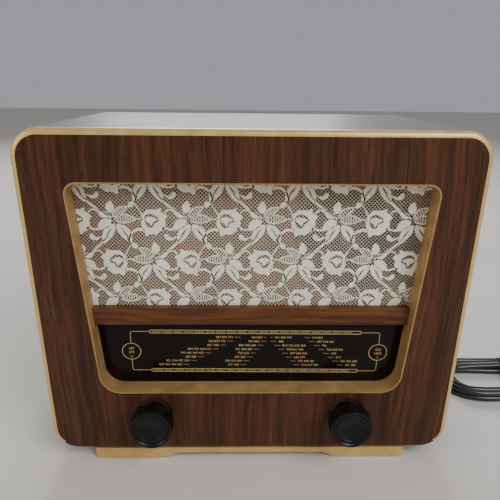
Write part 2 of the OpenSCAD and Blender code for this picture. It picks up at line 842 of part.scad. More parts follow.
module speaker_cone() {
    color([0.2, 0.2, 0.2]) axis_y(spk_x, speaker_z, cone_front) rotate_extrude($fn = 96)
        polygon([[cone_r, 0], [cone_r, cone_t], [coil_d / 2, cone_h + cone_t], [coil_d / 2, cone_seat],
                 [cone_r - cone_edge, 0]]);
}

// Domed cap whose rim rests on the cone's sloping wall.
cap_r = coil_d / 2 + 4;
cap_t = 0.8;
cap_ball = 24;
cap_rise = cone_seat * (cone_r - cone_edge - cap_r) / (cone_r - cone_edge - coil_d / 2);

module dust_cap() {
    lift = sqrt(cap_ball * cap_ball - cap_r * cap_r);
    color([0.15, 0.15, 0.15]) axis_y(spk_x, speaker_z, cone_front + cap_rise) rotate_extrude()
        intersection() {
            translate([0, lift]) difference() {
                circle(r = cap_ball, $fn = 96);
                circle(r = cap_ball - cap_t, $fn = 96);
            }
            translate([0, lift - cap_ball]) square([cap_r, cap_ball - lift]);
        }
}

coil_front = cone_front + cone_h - 0.6;
coil_back = basket_back + 9;
gap = 0.5;

module voice_coil() {
    color("chocolate") difference() {
        rod_y(spk_x, speaker_z, coil_front, coil_back, coil_d / 2);
        rod_y(spk_x, speaker_z, coil_front - 1, coil_back + 1, coil_d / 2 - 0.8);
    }
}

// Pot magnet with the annular gap in which the voice coil moves.
module speaker_magnet() {
    color("gray") difference() {
        rod_y(spk_x, speaker_z, basket_back, basket_back + magnet_h, magnet_d / 2);
        difference() {
            rod_y(spk_x, speaker_z, basket_back - 1, basket_back + 12, coil_d / 2 + gap);
            rod_y(spk_x, speaker_z, basket_back - 2, basket_back + 13, coil_d / 2 - 0.8 - gap);
        }
    }
}

// ---- Chassis ----

bolt_r = 2.5;
bolt_points = [for (sx = [-1, 1]) for (d = [chassis_front + 12, chassis_back - 18])
    [sx * (chassis_w / 2 - 9), d]];

module chassis() {
    x = chassis_w / 2;
    lip = 18;
    color("lightsteelblue") difference() {
        union() {
            block(-x, x, chassis_front, chassis_back, deck_z - sheet, deck_z);
            for (d = [chassis_front, chassis_back - sheet]) block(-x, x, d, d + sheet, floor_z, deck_z);
            for (s = [-1, 1]) {
                block(s > 0 ? x - sheet : -x, s > 0 ? x : sheet - x, chassis_front, chassis_back,
                      floor_z, deck_z);
                block(s > 0 ? x - lip : -x, s > 0 ? x : lip - x, chassis_front, chassis_back,
                      floor_z, floor_z + sheet);
            }
        }
        for (p = bolt_points)
            translate([p[0], at_depth(p[1]), floor_z - 1]) cylinder(r = bolt_r, h = sheet + 2);
        for (s = [-1, 1]) rod_y(s * knob_x, shaft_z, chassis_front - 1, chassis_front + sheet + 1, bush_r);
        for (p = valves) translate([p[0], at_depth(p[1]), deck_z - sheet - 1]) cylinder(r = 9, h = sheet + 2);
    }
}

module chassis_bolts() {
    color("silver") for (p = bolt_points) translate([p[0], at_depth(p[1]), 0]) {
        translate([0, 0, base_z - 3]) cylinder(r = 4.5, h = 3);
        translate([0, 0, base_z]) cylinder(r = bolt_r, h = wall + sheet + 5);
        translate([0, 0, floor_z + sheet]) difference() {
            cylinder(r = 4.4, h = 3.4, $fn = 6);
            translate([0, 0, -1]) cylinder(r = bolt_r, h = 6);
        }
    }
}

socket_h = 5;

module valve_sockets() {
    color([0.25, 0.15, 0.1]) for (p = valves) translate([p[0], at_depth(p[1]), deck_z - sheet - 6]) {
        cylinder(r = 9, h = 6 + sheet);
        translate([0, 0, 6 + sheet]) difference() {
            cylinder(r = valve_d / 2 + 3, h = socket_h);
            translate([0, 0, 2]) cylinder(r = valve_d / 2, h = socket_h);
        }
    }
}

module valve_glasses() {
    r = valve_d / 2;
    color("lightcyan") for (p = valves) translate([p[0], at_depth(p[1]), deck_z + 2])
        rotate_extrude() polygon(concat(
            [[0, 0], [r, 0]],
            [for (a = [0:10:80]) [r * cos(a), valve_h - r + r * sin(a)]],
            [[1.6, valve_h], [0.8, valve_h + 4], [0, valve_h + 5]]));
}

module if_cans() {
    h = cans_w / 2;
    color("silver") for (p = cans) {
        block(p[0] - h, p[0] + h, p[1] - h, p[1] + h, deck_z, deck_z + can_h);
        for (dx = [-5, 5]) translate([p[0] + dx, at_depth(p[1]), deck_z + can_h]) difference() {
            cylinder(r = 2.6, h = 1.5);
            translate([-0.4, -3, 0.7]) cube([0.8, 6, 2]);
        }
    }
}

module filter_capacitor() {
    color("silver") translate([filter_at[0], at_depth(filter_at[1]), deck_z]) rotate_extrude()
        polygon([[0, 0], [filter_r, 0], [filter_r, 3], [filter_r - 1, 4], [filter_r - 1, filter_h - 2],
                 [filter_r - 3, filter_h], [filter_r - 4, filter_h - 1], [0, filter_h - 1]]);
}

module transformer_core() {
    x = core_at[0];
    d = core_at[1];
    lug = 10;
    color("dimgray") {
        difference() {
            block(x - core_w / 2, x + core_w / 2, d - core_t / 2, d + core_t / 2, deck_z, deck_z + core_h);
            for (s = [-1, 1]) block(x + s * window_x - window_w / 2, x + s * window_x + window_w / 2,
                                    d - core_t, d + core_t, deck_z + window_z, deck_z + core_h - window_z);
        }
        for (s = [-1, 1]) block(x + s * (core_w - lug) / 2 - lug / 2, x + s * (core_w - lug) / 2 + lug / 2,
                                d - core_t / 2 - lug, d - core_t / 2, deck_z, deck_z + 1.5);
    }
}

// Windows in the core, and the winding that passes through them with room all round.
window_x = 17.5;
window_w = 12;
window_z = 12;
coil_bulge = 11;

module transformer_coil() {
    x = core_at[0];
    d = core_at[1];
    limb = window_x - window_w / 2;
    out = window_x + window_w / 2 - 1;
    z0 = deck_z + window_z + 1.5;
    z1 = deck_z + core_h - window_z - 1.5;
    color("peru") difference() {
        block(x - out, x + out, d - core_t / 2 - coil_bulge, d + core_t / 2 + coil_bulge, z0, z1);
        block(x - limb, x + limb, d - core_t / 2, d + core_t / 2, z0 - 1, z1 + 1);
    }
}

// Small transformer beside the loudspeaker: its laminated core with the winding bulging out of it.
output_at = [62, chassis_front + 30];
output_w = 36;
output_t = 16;
output_h = 31;
winding_w = 26;
winding_t = 28;
winding_h = 19;

module output_transformer() {
    x = output_at[0];
    d = output_at[1];
    low = deck_z + (output_h - winding_h) / 2;
    color("gray") {
        block(x - output_w / 2, x + output_w / 2, d - output_t / 2, d + output_t / 2,
              deck_z, deck_z + output_h);
        block(x - winding_w / 2, x + winding_w / 2, d - winding_t / 2, d + winding_t / 2,
              low, low + winding_h);
    }
}

// ---- Rear ----

module aerial_sockets() {
    z0 = sockets_z - sockets_h / 2;
    x0 = sockets_x - sockets_w / 2;
    color([0.3, 0.18, 0.1]) difference() {
        block(x0, x0 + sockets_w, chassis_back, cover_back, z0, z0 + sockets_h);
        for (s = [-1, 1]) rod_y(sockets_x + s * socket_pitch / 2, sockets_z, cover_back - socket_len,
                                cover_back + 1, socket_d / 2);
    }
}

module voltage_selector() {
    color([0.15, 0.1, 0.08]) difference() {
        rod_y(selector_x, selector_z, chassis_back, cover_back, selector_r);
        block(selector_x - 12, selector_x + 12, cover_back - 1.5, cover_back + 1, selector_z - 1.5,
              selector_z + 1.5);
    }
}

// Perforated board with a field of vents and openings for the sockets, the selector and the lead.
module rear_cover() {
    rows = 9;
    cols = 19;
    vents_z = deck_z + 26;
    color([0.45, 0.32, 0.2]) difference() {
        slab(cover_front, cover_back) difference() {
            rounded_rect(in_w - 2 * cover_gap, floor_z + cover_gap, in_h - 2 * cover_gap,
                         in_r - cover_gap);
            for (i = [0:cols - 1]) for (j = [0:rows - 1])
                translate([(i - (cols - 1) / 2) * vent_pitch, vents_z + j * vent_pitch]) circle(r = vent_r);
            translate([sockets_x - sockets_w / 2 - 1, sockets_z - sockets_h / 2 - 1])
                square([sockets_w + 2, sockets_h + 2]);
            translate([selector_x, selector_z]) circle(r = selector_r + 1);
            translate([lead_x, base_z + lead_z]) circle(r = relief_r);
            for (p = cover_points) translate(p) circle(r = 1.8);
        }
    }
}

cover_points = [for (s = [-1, 1]) for (z = [floor_z + 30, floor_z + in_h / 2, floor_z + in_h - 30])
    [s * (in_w / 2 - batten_w / 2 - 1), z]];

module cover_screws() {
    color("goldenrod") for (p = cover_points) {
        rod_y(p[0], p[1], cover_front - 8, cover_back, 1.8);
        rod_y(p[0], p[1], cover_back, cover_back + 1.6, 3.6);
    }
}

module rear_battens() {
    color("burlywood") difference() {
        for (s = [-1, 1]) block(s > 0 ? in_w / 2 - batten_w - 1 : -in_w / 2, s > 0 ? in_w / 2 : batten_w + 1 - in_w / 2,
                                cover_front - 10, cover_front, floor_z + in_r, floor_z + in_h - in_r);
        for (p = cover_points) rod_y(p[0], p[1], cover_front - 8, cover_front + 1, 1.8);
    }
}

// ---- Mains lead ----

// Rubber strain relief: a plug through the cover, a collar and a tapered sleeve.
module cord_relief() {
    color([0.1, 0.1, 0.1]) axis_y(lead_x, base_z + lead_z, cover_front - 2) rotate_extrude()
        polygon([[0, 0], [relief_r, 0], [relief_r, cover_t + 2], [relief_r + 2.4, cover_t + 2],
                 [relief_r + 2.4, cover_t + 4], [relief_r, cover_t + 5.5],
                 [lead_d / 2 + 0.7, cover_t + 2 + relief_len], [0, cover_t + 2 + relief_len]]);
}

// Smooth route through the given points (Catmull-Rom), two rings a span.
route = concat([lead_start], lead_route);
last = len(route) - 1;
function route_point(i) = route[max(0, min(last, i))];
function spline(i, t) =
    let (a = route_point(i - 1), b = route_point(i), c = route_point(i + 1), d = route_point(i + 2))
    0.5 * ((2 * b) + (c - a) * t + (2 * a - 5 * b + 4 * c - d) * t * t
           + (3 * b - a - 3 * c + d) * t * t * t);
rings = [for (i = [0:last - 1]) for (t = [0, 0.5]) spline(i, t), route[last]];
sides = 10;

// Closed tube swept along the rings, each ring square to the route.
module mains_cord() {
    n = len(rings);
    frames = [for (i = [0:n - 1])
        let (t = unit(rings[min(n - 1, i + 1)] - rings[max(0, i - 1)]),
             across = unit(cross([0, 0.05, 1], t)), up = cross(t, across))
        [across, up]];
    points = [for (i = [0:n - 1]) for (k = [0:sides - 1])
        let (a = 360 * k / sides)
        rings[i] + (frames[i][0] * cos(a) + frames[i][1] * sin(a)) * lead_d / 2];
    walls = [for (i = [0:n - 2]) for (k = [0:sides - 1])
        let (m = (k + 1) % sides)
        [i * sides + k, (i + 1) * sides + k, (i + 1) * sides + m, i * sides + m]];
    first_cap = [for (k = [0:sides - 1]) k];
    last_cap = [for (k = [sides - 1:-1:0]) (n - 1) * sides + k];
    color([0.1, 0.1, 0.1]) polyhedron(points, concat([first_cap], walls, [last_cap]));
}

// Solid of the folded hank: straight runs with round ends.
module cord_hank() {
    color([0.12, 0.12, 0.12]) difference() {
        translate([hank_x, 0, hank_z0]) linear_extrude(hank_h) {
            straight = hank_len - hank_w;
            translate([-straight / 2, hank_y - hank_w / 2]) square([straight, hank_w]);
            for (s = [-1, 1]) translate([s * straight / 2, hank_y]) circle(d = hank_w, $fn = 128);
        }
        for (s = [-1, 1]) translate([tie_x - tie_w / 2, hank_y + s * hank_w / 2 - tie_inset, -1])
            cube([tie_w, 2 * tie_inset, hank_h + 3]);
    }
}

// Band round the hank, let into both of its sides.
module cord_tie() {
    half = hank_w / 2 - tie_inset;
    color("dimgray") difference() {
        translate([tie_x - tie_w / 2 + 0.5, hank_y - half - tie_t, hank_z0 - tie_t / 2])
            cube([tie_w - 1, 2 * (half + tie_t), hank_h + 1.5 * tie_t]);
        translate([tie_x - tie_w, hank_y - half, hank_z0]) cube([2 * tie_w, 2 * half, hank_h]);
    }
}

// Flat two-pin plug that lies beyond the hank's far end, with its sleeve reaching back to it.
plug_x = sleeve_x + sleeve_len;
plug_nose = 9;
plug_taper = 8;

module plug_body() {
    color([0.08, 0.08, 0.08]) {
        translate([sleeve_x, plug_y, plug_z]) rotate([0, 90, 0]) cylinder(r = 5, h = sleeve_len);
        translate([plug_x, plug_y, 0]) linear_extrude(plug_h)
            polygon([[0, -plug_nose], [plug_taper, -plug_w / 2], [plug_len, -plug_w / 2],
                     [plug_len, plug_w / 2], [plug_taper, plug_w / 2], [0, plug_nose]]);
    }
}

module plug_pins() {
    color("gold") for (s = [-1, 1]) translate([plug_x + plug_len, plug_y + s * pin_pitch / 2, plug_z])
        rotate([0, 90, 0]) cylinder(r = pin_r, h = pin_len);
}

cabinet_shell();
front_panel();
edge_bead();
opening_liner();
cross_rail();
speaker_cloth();
speaker_baffle();
dial_glass();
glass_clips();
dial_backplate();
lamp_holders();
dial_lamps();
drive_frame();
guide_rod();
drive_cord();
idler_left();
idler_right();
drive_drum();
dial_pointer();
tuning_gang_frame();
tuning_rotor();
tuning_shaft();
tuning_bush();
tuning_knob();
tuning_knob_screw();
volume_pot();
volume_shaft();
volume_knob();
volume_knob_screw();
knob_washers();
speaker_frame();
speaker_gasket();
speaker_cone();
dust_cap();
voice_coil();
speaker_magnet();
speaker_screws();
output_transformer();
chassis();
chassis_bolts();
valve_sockets();
valve_glasses();
if_cans();
filter_capacitor();
transformer_core();
transformer_coil();
aerial_sockets();
voltage_selector();
rear_cover();
cover_screws();
rear_battens();
plinth_front();
plinth_rear();
foot_pads();
cord_relief();
mains_cord();
cord_hank();
cord_tie();
plug_body();
plug_pins();
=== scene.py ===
import json
import logging
import math
from dataclasses import dataclass
from enum import Enum

import bpy
import numpy as np
from mathutils import Matrix, Vector


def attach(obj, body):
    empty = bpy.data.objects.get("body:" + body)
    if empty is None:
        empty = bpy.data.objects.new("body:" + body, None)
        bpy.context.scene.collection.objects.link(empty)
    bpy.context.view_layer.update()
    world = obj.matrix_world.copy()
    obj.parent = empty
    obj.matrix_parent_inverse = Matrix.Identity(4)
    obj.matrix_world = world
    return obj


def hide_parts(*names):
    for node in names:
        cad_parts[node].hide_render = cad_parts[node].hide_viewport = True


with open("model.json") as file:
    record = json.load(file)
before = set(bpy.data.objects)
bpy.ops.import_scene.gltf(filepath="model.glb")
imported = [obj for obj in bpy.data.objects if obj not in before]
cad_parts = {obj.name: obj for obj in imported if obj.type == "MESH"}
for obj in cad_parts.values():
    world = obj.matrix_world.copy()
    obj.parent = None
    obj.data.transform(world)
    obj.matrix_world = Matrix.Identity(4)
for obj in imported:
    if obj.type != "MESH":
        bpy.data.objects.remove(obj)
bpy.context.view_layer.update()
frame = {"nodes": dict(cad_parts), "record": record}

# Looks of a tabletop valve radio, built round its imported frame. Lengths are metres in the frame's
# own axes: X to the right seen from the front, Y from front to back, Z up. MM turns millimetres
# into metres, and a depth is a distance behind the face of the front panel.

MM = 0.001
FACE_Y = -82.7 * MM
LOG = logging.getLogger("radio")
# Materials made so far, by finish name.
MADE: dict[str, bpy.types.Material] = {}


def linear(code: str) -> tuple[float, float, float, float]:
    """Turns an sRGB hex value such as "#C0A060" into linear colour with alpha 1.

    Args:
        code: the hex value, with its hash sign.
    Returns:
        Red, green, blue and alpha, each from 0 to 1.
    """
    srgb = [int(code[i:i + 2], 16) / 255 for i in (1, 3, 5)]
    rgb = [c / 12.92 if c <= 0.04045 else ((c + 0.055) / 1.055) ** 2.4 for c in srgb]
    return rgb[0], rgb[1], rgb[2], 1.0


def add(tree: bpy.types.NodeTree, kind: str, settings: dict | None = None, inputs: dict | None = None,
        stops: tuple = ()) -> bpy.types.Node:
    """Adds one shader node with its settings and links.

    Args:
        tree: the material's node tree.
        kind: the node's type without the leading "ShaderNode".
        settings: the node's own properties.
        inputs: sockets by name or number; a socket as value is linked, anything else is set.
        stops: for a colour ramp, pairs of position and sRGB hex value.
    Returns:
        The new node.
    """
    node = tree.nodes.new("ShaderNode" + kind)
    for key, value in (settings or {}).items():
        setattr(node, key, value)
    for key, value in (inputs or {}).items():
        if isinstance(value, bpy.types.NodeSocket):
            tree.links.new(value, node.inputs[key])
        else:
            node.inputs[key].default_value = value
    for n, (place, code) in enumerate(stops):
        while len(node.color_ramp.elements) <= n:
            node.color_ramp.elements.new(1.0)
        node.color_ramp.elements[n].position = place
        node.color_ramp.elements[n].color = linear(code)
    return node


# ---- Finishes ----


@dataclass(frozen=True)
class Finish:
    """A finish that is one tone mottled with a second, over a fine relief.

    The mottling is noise of size mottle_mm; the relief is noise of size grit_mm and height relief_mm.
    stretch gives how much longer the pattern is along X, Y and Z, as on brushed or sawn stock.
    Where worn names a tone, it shows in chips about 3 mm across, the fewer the higher worn_above is.
    """
    name: str
    tone: str
    accent: str
    roughness: float = 0.5
    metallic: float = 0.0
    ior: float = 1.5
    coat: float = 0.0
    coat_roughness: float = 0.08
    sheen: float = 0.0
    mottle_mm: float = 14.0
    grit_mm: float = 0.6
    relief_mm: float = 0.02
    stretch: tuple[float, float, float] = (1.0, 1.0, 1.0)
    transmission: float = 0.0
    specular: float = 0.5
    worn: str = ""
    worn_above: float = 0.66

    def material(self) -> bpy.types.Material:
        """Returns this finish's material, made at its first use."""
        if self.name in MADE:
            return MADE[self.name]
        made = bpy.data.materials.new(self.name)
        MADE[self.name] = made
        made.use_nodes = True
        tree = made.node_tree
        tree.nodes.clear()
        point = add(tree, "TexCoord").outputs["Object"]
        colour, rough, height = self.pattern(tree, point)
        bump = add(tree, "Bump", None, {"Strength": 1.0, "Distance": self.relief_mm * MM, "Height": height})
        inputs = {"Base Color": colour, "Roughness": rough, "Metallic": self.metallic,
                  "Normal": bump.outputs[0], "Coat Weight": self.coat,
                  "Coat Roughness": self.coat_roughness, "Sheen Weight": self.sheen,
                  "Transmission Weight": self.transmission, "Specular IOR Level": self.specular}
        if self.metallic < 0.5:
            inputs["IOR"] = self.ior
        surface = add(tree, "BsdfPrincipled", None, inputs)
        add(tree, "OutputMaterial", None, {"Surface": surface.outputs[0]})
        return made

    def scaled(self, tree: bpy.types.NodeTree, point: bpy.types.NodeSocket) -> bpy.types.NodeSocket:
        """Point with each axis shrunk by the stretch, so the pattern comes out longer there."""
        shrink = [1 / s for s in self.stretch]
        return add(tree, "Mapping", None, {"Vector": point, "Scale": shrink}).outputs[0]

    def pattern(self, tree: bpy.types.NodeTree, point: bpy.types.NodeSocket) -> tuple:
        """Builds the pattern.

        Args:
            tree: the material's node tree.
            point: the Object coordinates.
        Returns:
            Sockets of the colour, the roughness and the relief's height.
        """
        where = self.scaled(tree, point)
        cloud = add(tree, "TexNoise", None, {"Vector": where, "Scale": 1 / (self.mottle_mm * MM),
                                             "Detail": 6.0, "Roughness": 0.6}).outputs[0]
        grit = add(tree, "TexNoise", None, {"Vector": where, "Scale": 1 / (self.grit_mm * MM),
                                            "Detail": 3.0}).outputs[0]
        colour = add(tree, "ValToRGB", None, {"Fac": cloud},
                     ((0.32, self.tone), (0.68, self.accent))).outputs[0]
        if self.worn:
            chip = add(tree, "TexNoise", None, {"Vector": point, "Scale": 330.0, "Detail": 5.0,
                                                "Roughness": 0.7}).outputs[0]
            bare = add(tree, "MapRange", None, {"Value": chip, "From Min": self.worn_above,
                                                "From Max": self.worn_above + 0.05}).outputs[0]
            colour = add(tree, "Mix", {"data_type": "RGBA"},
                         {0: bare, 6: colour, 7: linear(self.worn)}).outputs[2]
        rough = add(tree, "MapRange", None, {"Value": cloud, "From Min": 0.3, "From Max": 0.7,
                                             "To Min": self.roughness * 0.85,
                                             "To Max": min(1.0, self.roughness * 1.2)}).outputs[0]
        return colour, rough, grit


class Grain(Enum):
    """Which way a board's grain runs."""
    UPRIGHT = (1.0, 1.0, 26.0)
    LEVEL = (26.0, 1.0, 1.0)
    WRAPPED = (26.0, 1.0, 26.0)


@dataclass(frozen=True)
class Veneer(Finish):
    """Figured walnut veneer under gloss lacquer.

    Long wavy streaks of growth, finer fibres between them, short dark pores and broad patches of
    redder wood; the pores sink a little into the lacquer.
    """
    grain: Grain = Grain.UPRIGHT
    dark: str = "#24150E"
    red: str = "#6E4026"

    def pattern(self, tree: bpy.types.NodeTree, point: bpy.types.NodeSocket) -> tuple:
        """Builds the wood figure.

        Args:
            tree: the material's node tree.
            point: the Object coordinates.
        Returns:
            Sockets of the colour, the roughness and the relief's height.
        """
        shrink = [1 / s for s in self.grain.value]
        # Slow sideways drift of the streaks, about a centimetre over a hand's width.
        drift = add(tree, "TexNoise", None, {"Vector": point, "Scale": 7.0, "Detail": 2.0}).outputs["Color"]
        sway = add(tree, "VectorMath", {"operation": "MULTIPLY_ADD"},
                   {0: drift, 1: (0.020, 0.0, 0.020), 2: point}).outputs[0]
        along = add(tree, "Mapping", None, {"Vector": sway, "Scale": shrink}).outputs[0]
        # Growth streaks 4 mm wide, fibres 0.9 mm, pores 0.5 mm, and bands of tone 30 mm wide.
        streak = add(tree, "TexNoise", None, {"Vector": along, "Scale": 250.0, "Detail": 6.0,
                                              "Roughness": 0.66, "Distortion": 0.25}).outputs[0]
        fibre = add(tree, "TexNoise", None, {"Vector": along, "Scale": 1100.0, "Detail": 3.0}).outputs[0]
        pore = add(tree, "TexNoise", None, {"Vector": along, "Scale": 1900.0, "Detail": 1.0}).outputs[0]
        band = add(tree, "TexNoise", None, {"Vector": along, "Scale": 34.0, "Detail": 3.0,
                                            "Roughness": 0.55}).outputs[0]
        patch = add(tree, "TexNoise", None, {"Vector": sway, "Scale": 40.0, "Detail": 5.0,
                                             "Roughness": 0.65}).outputs[0]
        body = add(tree, "Math", {"operation": "MULTIPLY_ADD"}, {0: fibre, 1: 0.42, 2: streak}).outputs[0]
        body = add(tree, "Math", {"operation": "MULTIPLY_ADD"}, {0: band, 1: 0.55, 2: body}).outputs[0]
        wood = add(tree, "ValToRGB", None, {"Fac": add(tree, "Math", {"operation": "DIVIDE"},
                                                       {0: body, 1: 1.97}).outputs[0]},
                   ((0.36, self.dark), (0.47, self.tone), (0.56, self.accent), (0.68, self.red))).outputs[0]
        glow = add(tree, "MapRange", None, {"Value": patch, "From Min": 0.45, "From Max": 0.75,
                                            "To Min": 0.0, "To Max": 0.35}).outputs[0]
        warm = add(tree, "Mix", {"data_type": "RGBA", "blend_type": "SOFT_LIGHT"},
                   {0: glow, 6: wood, 7: linear("#B98A5C")}).outputs[2]
        hole = add(tree, "MapRange", None, {"Value": pore, "From Min": 0.60, "From Max": 0.70,
                                            "To Max": 0.75}).outputs[0]
        colour = add(tree, "Mix", {"data_type": "RGBA", "blend_type": "MIX"},
                     {0: hole, 6: warm, 7: linear(self.dark)}).outputs[2]
        rough = add(tree, "MapRange", None, {"Value": streak, "To Min": self.roughness * 0.8,
                                             "To Max": self.roughness * 1.25}).outputs[0]
        height = add(tree, "Math", {"operation": "SUBTRACT"}, {0: fibre, 1: hole}).outputs[0]
        return colour, rough, height


@dataclass(frozen=True)
class Weave(Finish):
    """Braided or stitched yarn: two crossed sets of ridges, pitch grit_mm apart, over the mottling."""

    def pattern(self, tree: bpy.types.NodeTree, point: bpy.types.NodeSocket) -> tuple:
        """Builds the crossed ridges.

        Args:
            tree: the material's node tree.
            point: the Object coordinates.
        Returns:
            Sockets of the colour, the roughness and the relief's height.
        """
        colour, rough, _ = super().pattern(tree, point)
        ridges = [add(tree, "TexWave", {"bands_direction": "DIAGONAL"},
                      {"Vector": add(tree, "Mapping", None, {"Vector": point, "Scale": turn}).outputs[0],
                       "Scale": 1 / (self.grit_mm * MM * 6.0), "Distortion": 1.5}).outputs[1]
                  for turn in ((1, 1, 1), (-1, 1, 1))]
        height = add(tree, "Math", {"operation": "MAXIMUM"}, {0: ridges[0], 1: ridges[1]}).outputs[0]
        return colour, rough, height


# Rotary-cut walnut, French polished: dark brown with redder streaks and a soft deep gloss.
VENEER = Veneer("figured_walnut_lacquered", "#402617", "#54321F", roughness=0.42, coat=0.05,
                coat_roughness=0.2, relief_mm=0.03, specular=0.17, red="#6C4228", dark="#28170F")
# The same veneer on the wrap-round shell, its grain following the bend, polished higher.
SHELL_VENEER = Veneer("walnut_shell_lacquered", "#3B2318", "#4E2F20", roughness=0.32, coat=0.7,
                      coat_roughness=0.14, relief_mm=0.015, grain=Grain.WRAPPED, specular=0.5)
# Redder strip of mahogany on the cross rail.
RAIL_WOOD = Veneer("mahogany_rail_lacquered", "#5A3620", "#71462A", roughness=0.42, coat=0.05,
                   coat_roughness=0.2, relief_mm=0.03, grain=Grain.LEVEL, red="#7C5034",
                   specular=0.17, dark="#3E2416")
# Bronze-powder paint: a warm, slightly streaky gold with a broad soft shine.
GOLD = Finish("bronze_powder_paint", "#C8A560", "#DDBD78", roughness=0.4, metallic=0.45, mottle_mm=9,
              grit_mm=0.35, relief_mm=0.03, stretch=(2.0, 1.0, 2.0), worn="#7A5D34")
# The same paint on the opening's walls, rougher and less metallic, its tone darkened as painted shade of the
# recess.
RECESS_GOLD_PAINTED_SHADE = Finish("bronze_powder_paint_recess_painted_shade", "#94744A", "#B08C58", roughness=0.5, metallic=0.3,
                   mottle_mm=12, grit_mm=0.4, relief_mm=0.04, worn="#6B4E2C")
# Compression-moulded phenolic, buffed: near black, with a soft shine and a faint mould bloom.
BAKELITE = Finish("bakelite_black_buffed", "#090908", "#10100F", roughness=0.33, ior=1.6,
                  specular=0.2, mottle_mm=6, grit_mm=0.8, relief_mm=0.006)
# The same moulding in mottled brown, glossier, on the small sockets.
BROWN_BAKELITE = Finish("bakelite_brown_mottled", "#2C1710", "#3F2217", roughness=0.28, ior=1.6, coat=0.2,
                        mottle_mm=5, relief_mm=0.008)
# Glass painted black on its back: a deep, nearly mirror-flat black.
BLACK_GLASS = Finish("back_painted_glass", "#0D0907", "#140E0A", roughness=0.16, ior=1.52,
                     specular=0.16, mottle_mm=60, grit_mm=20, relief_mm=0.002)
# Screen-printed bronze ink on the dial.
DIAL_INK = Finish("dial_gold_ink", "#C0A066", "#D8B97C", roughness=0.5, metallic=0.1, mottle_mm=3,
                  grit_mm=0.3, relief_mm=0.01)
# The same ink as a dimmer line.
FAINT_INK = Finish("dial_dim_ink", "#6B5636", "#7E6743", roughness=0.6, metallic=0.1, mottle_mm=3,
                   grit_mm=0.3, relief_mm=0.01)
# Machine lace of cream cotton: matt yarn with a soft fuzz.
COTTON = Weave("cotton_lace_cream", "#E6DFC9", "#F4EFE0", roughness=0.9, ior=1.47, sheen=0.25,
               mottle_mm=4, grit_mm=0.5, relief_mm=0.12)
# Finer yarn of the net, darker than the motifs' as painted shade on its thin threads, so that the motifs
# stand out on it.
COTTON_NET_PAINTED_SHADE = Weave("cotton_net_cream_painted_shade", "#CBBFA8", "#DCD1BB", roughness=0.95, ior=1.47, sheen=0.2,
                   mottle_mm=6, grit_mm=0.4, relief_mm=0.05)
# Stained plywood behind the lace.
BAFFLE = Finish("stained_plywood", "#4E3024", "#6E4836", roughness=0.8, specular=0.3, mottle_mm=18,
                grit_mm=0.5, relief_mm=0.05, stretch=(1, 1, 8))
# Plated sheet with a dull grey-yellow shine.
STEEL = Finish("cadmium_plated_steel", "#8E8C82", "#A9A79C", roughness=0.38, metallic=1.0, mottle_mm=9,
               grit_mm=0.25, relief_mm=0.01)
# Lathe-turned brass with sharp warm highlights.
BRASS = Finish("brass_turned_bright", "#9C7B3C", "#B8954C", roughness=0.3, metallic=1.0, mottle_mm=5,
               grit_mm=0.2, relief_mm=0.008)
# Pale cool metal, brushed along its height.
ALUMINIUM = Finish("spun_aluminium", "#A9ABAD", "#C4C6C8", roughness=0.34, metallic=1.0, mottle_mm=8,
                   grit_mm=0.2, relief_mm=0.008, stretch=(1, 1, 4))
# Off-white stoved paint under a thin gloss.
ENAMEL = Finish("enamel_white_stoved", "#CFCBBE", "#DEDBD0", roughness=0.3, coat=0.3, mottle_mm=20,
                relief_mm=0.01)
# Small bright red mark.
POINTER_RED = Finish("enamel_pointer_red", "#A8381A", "#BC4522", roughness=0.35, mottle_mm=4,
                     relief_mm=0.005)
# Pressed wool: dark brown, no shine.
FELT = Weave("felt_brown_pressed", "#38201A", "#4E2F25", roughness=0.95, sheen=0.08, mottle_mm=3, grit_mm=0.7,
             relief_mm=0.15)
# Speckled light and dark granules.
CORK = Finish("cork_composition", "#4C3624", "#765638", roughness=0.85, mottle_mm=1.6, grit_mm=0.5,
              relief_mm=0.08)
# Fibrous dull black paper.
CONE_PAPER = Finish("pressed_cone_paper", "#1F1F21", "#2E2E30", roughness=0.88, mottle_mm=3,
                    grit_mm=0.5, relief_mm=0.06)
# Varnished wire in fine ridges.
COIL = Weave("varnished_winding", "#6E4522", "#8E5D30", roughness=0.4, coat=0.3, mottle_mm=5,
             grit_mm=0.8, relief_mm=0.15)
# Rough grey casting.
MAGNET = Finish("cast_alnico", "#3E3F41", "#55575A", roughness=0.5, metallic=0.9, mottle_mm=6,
                grit_mm=0.9, relief_mm=0.06)
# Dark edges of stacked sheets.
LAMINATION = Finish("stacked_laminations", "#222326", "#3A3B3F", roughness=0.45, metallic=0.7,
                    mottle_mm=1.2, grit_mm=0.4, relief_mm=0.05, stretch=(12, 1, 12))
# Mottled brown board, nearly matt.
HARDBOARD = Finish("oil_tempered_hardboard", "#4A3322", "#644730", roughness=0.7, mottle_mm=7,
                   grit_mm=0.5, relief_mm=0.08)
# Pale sawn wood, unfinished.
BEECH = Finish("sawn_beech", "#A67C4F", "#BE9566", roughness=0.7, mottle_mm=4, grit_mm=0.4,
               relief_mm=0.06, stretch=(1, 1, 12))
# Clear thin glass with sharp reflections.
GLASS = Finish("glass_valve_clear", "#E8EEEE", "#F2F6F6", roughness=0.04, ior=1.5, transmission=0.95,
               mottle_mm=30, grit_mm=10, relief_mm=0.003)
# The same with a warm amber tint.
LAMP_GLASS = Finish("glass_lamp_amber", "#F3E2B0", "#FFF0C4", roughness=0.05, ior=1.5, transmission=0.8,
                    mottle_mm=20, grit_mm=8, relief_mm=0.003)
# Waxed cotton twist, dull straw.
CORD_COTTON = Weave("waxed_dial_cord", "#A4976E", "#BDB088", roughness=0.8, mottle_mm=1, grit_mm=0.3,
                    relief_mm=0.06)
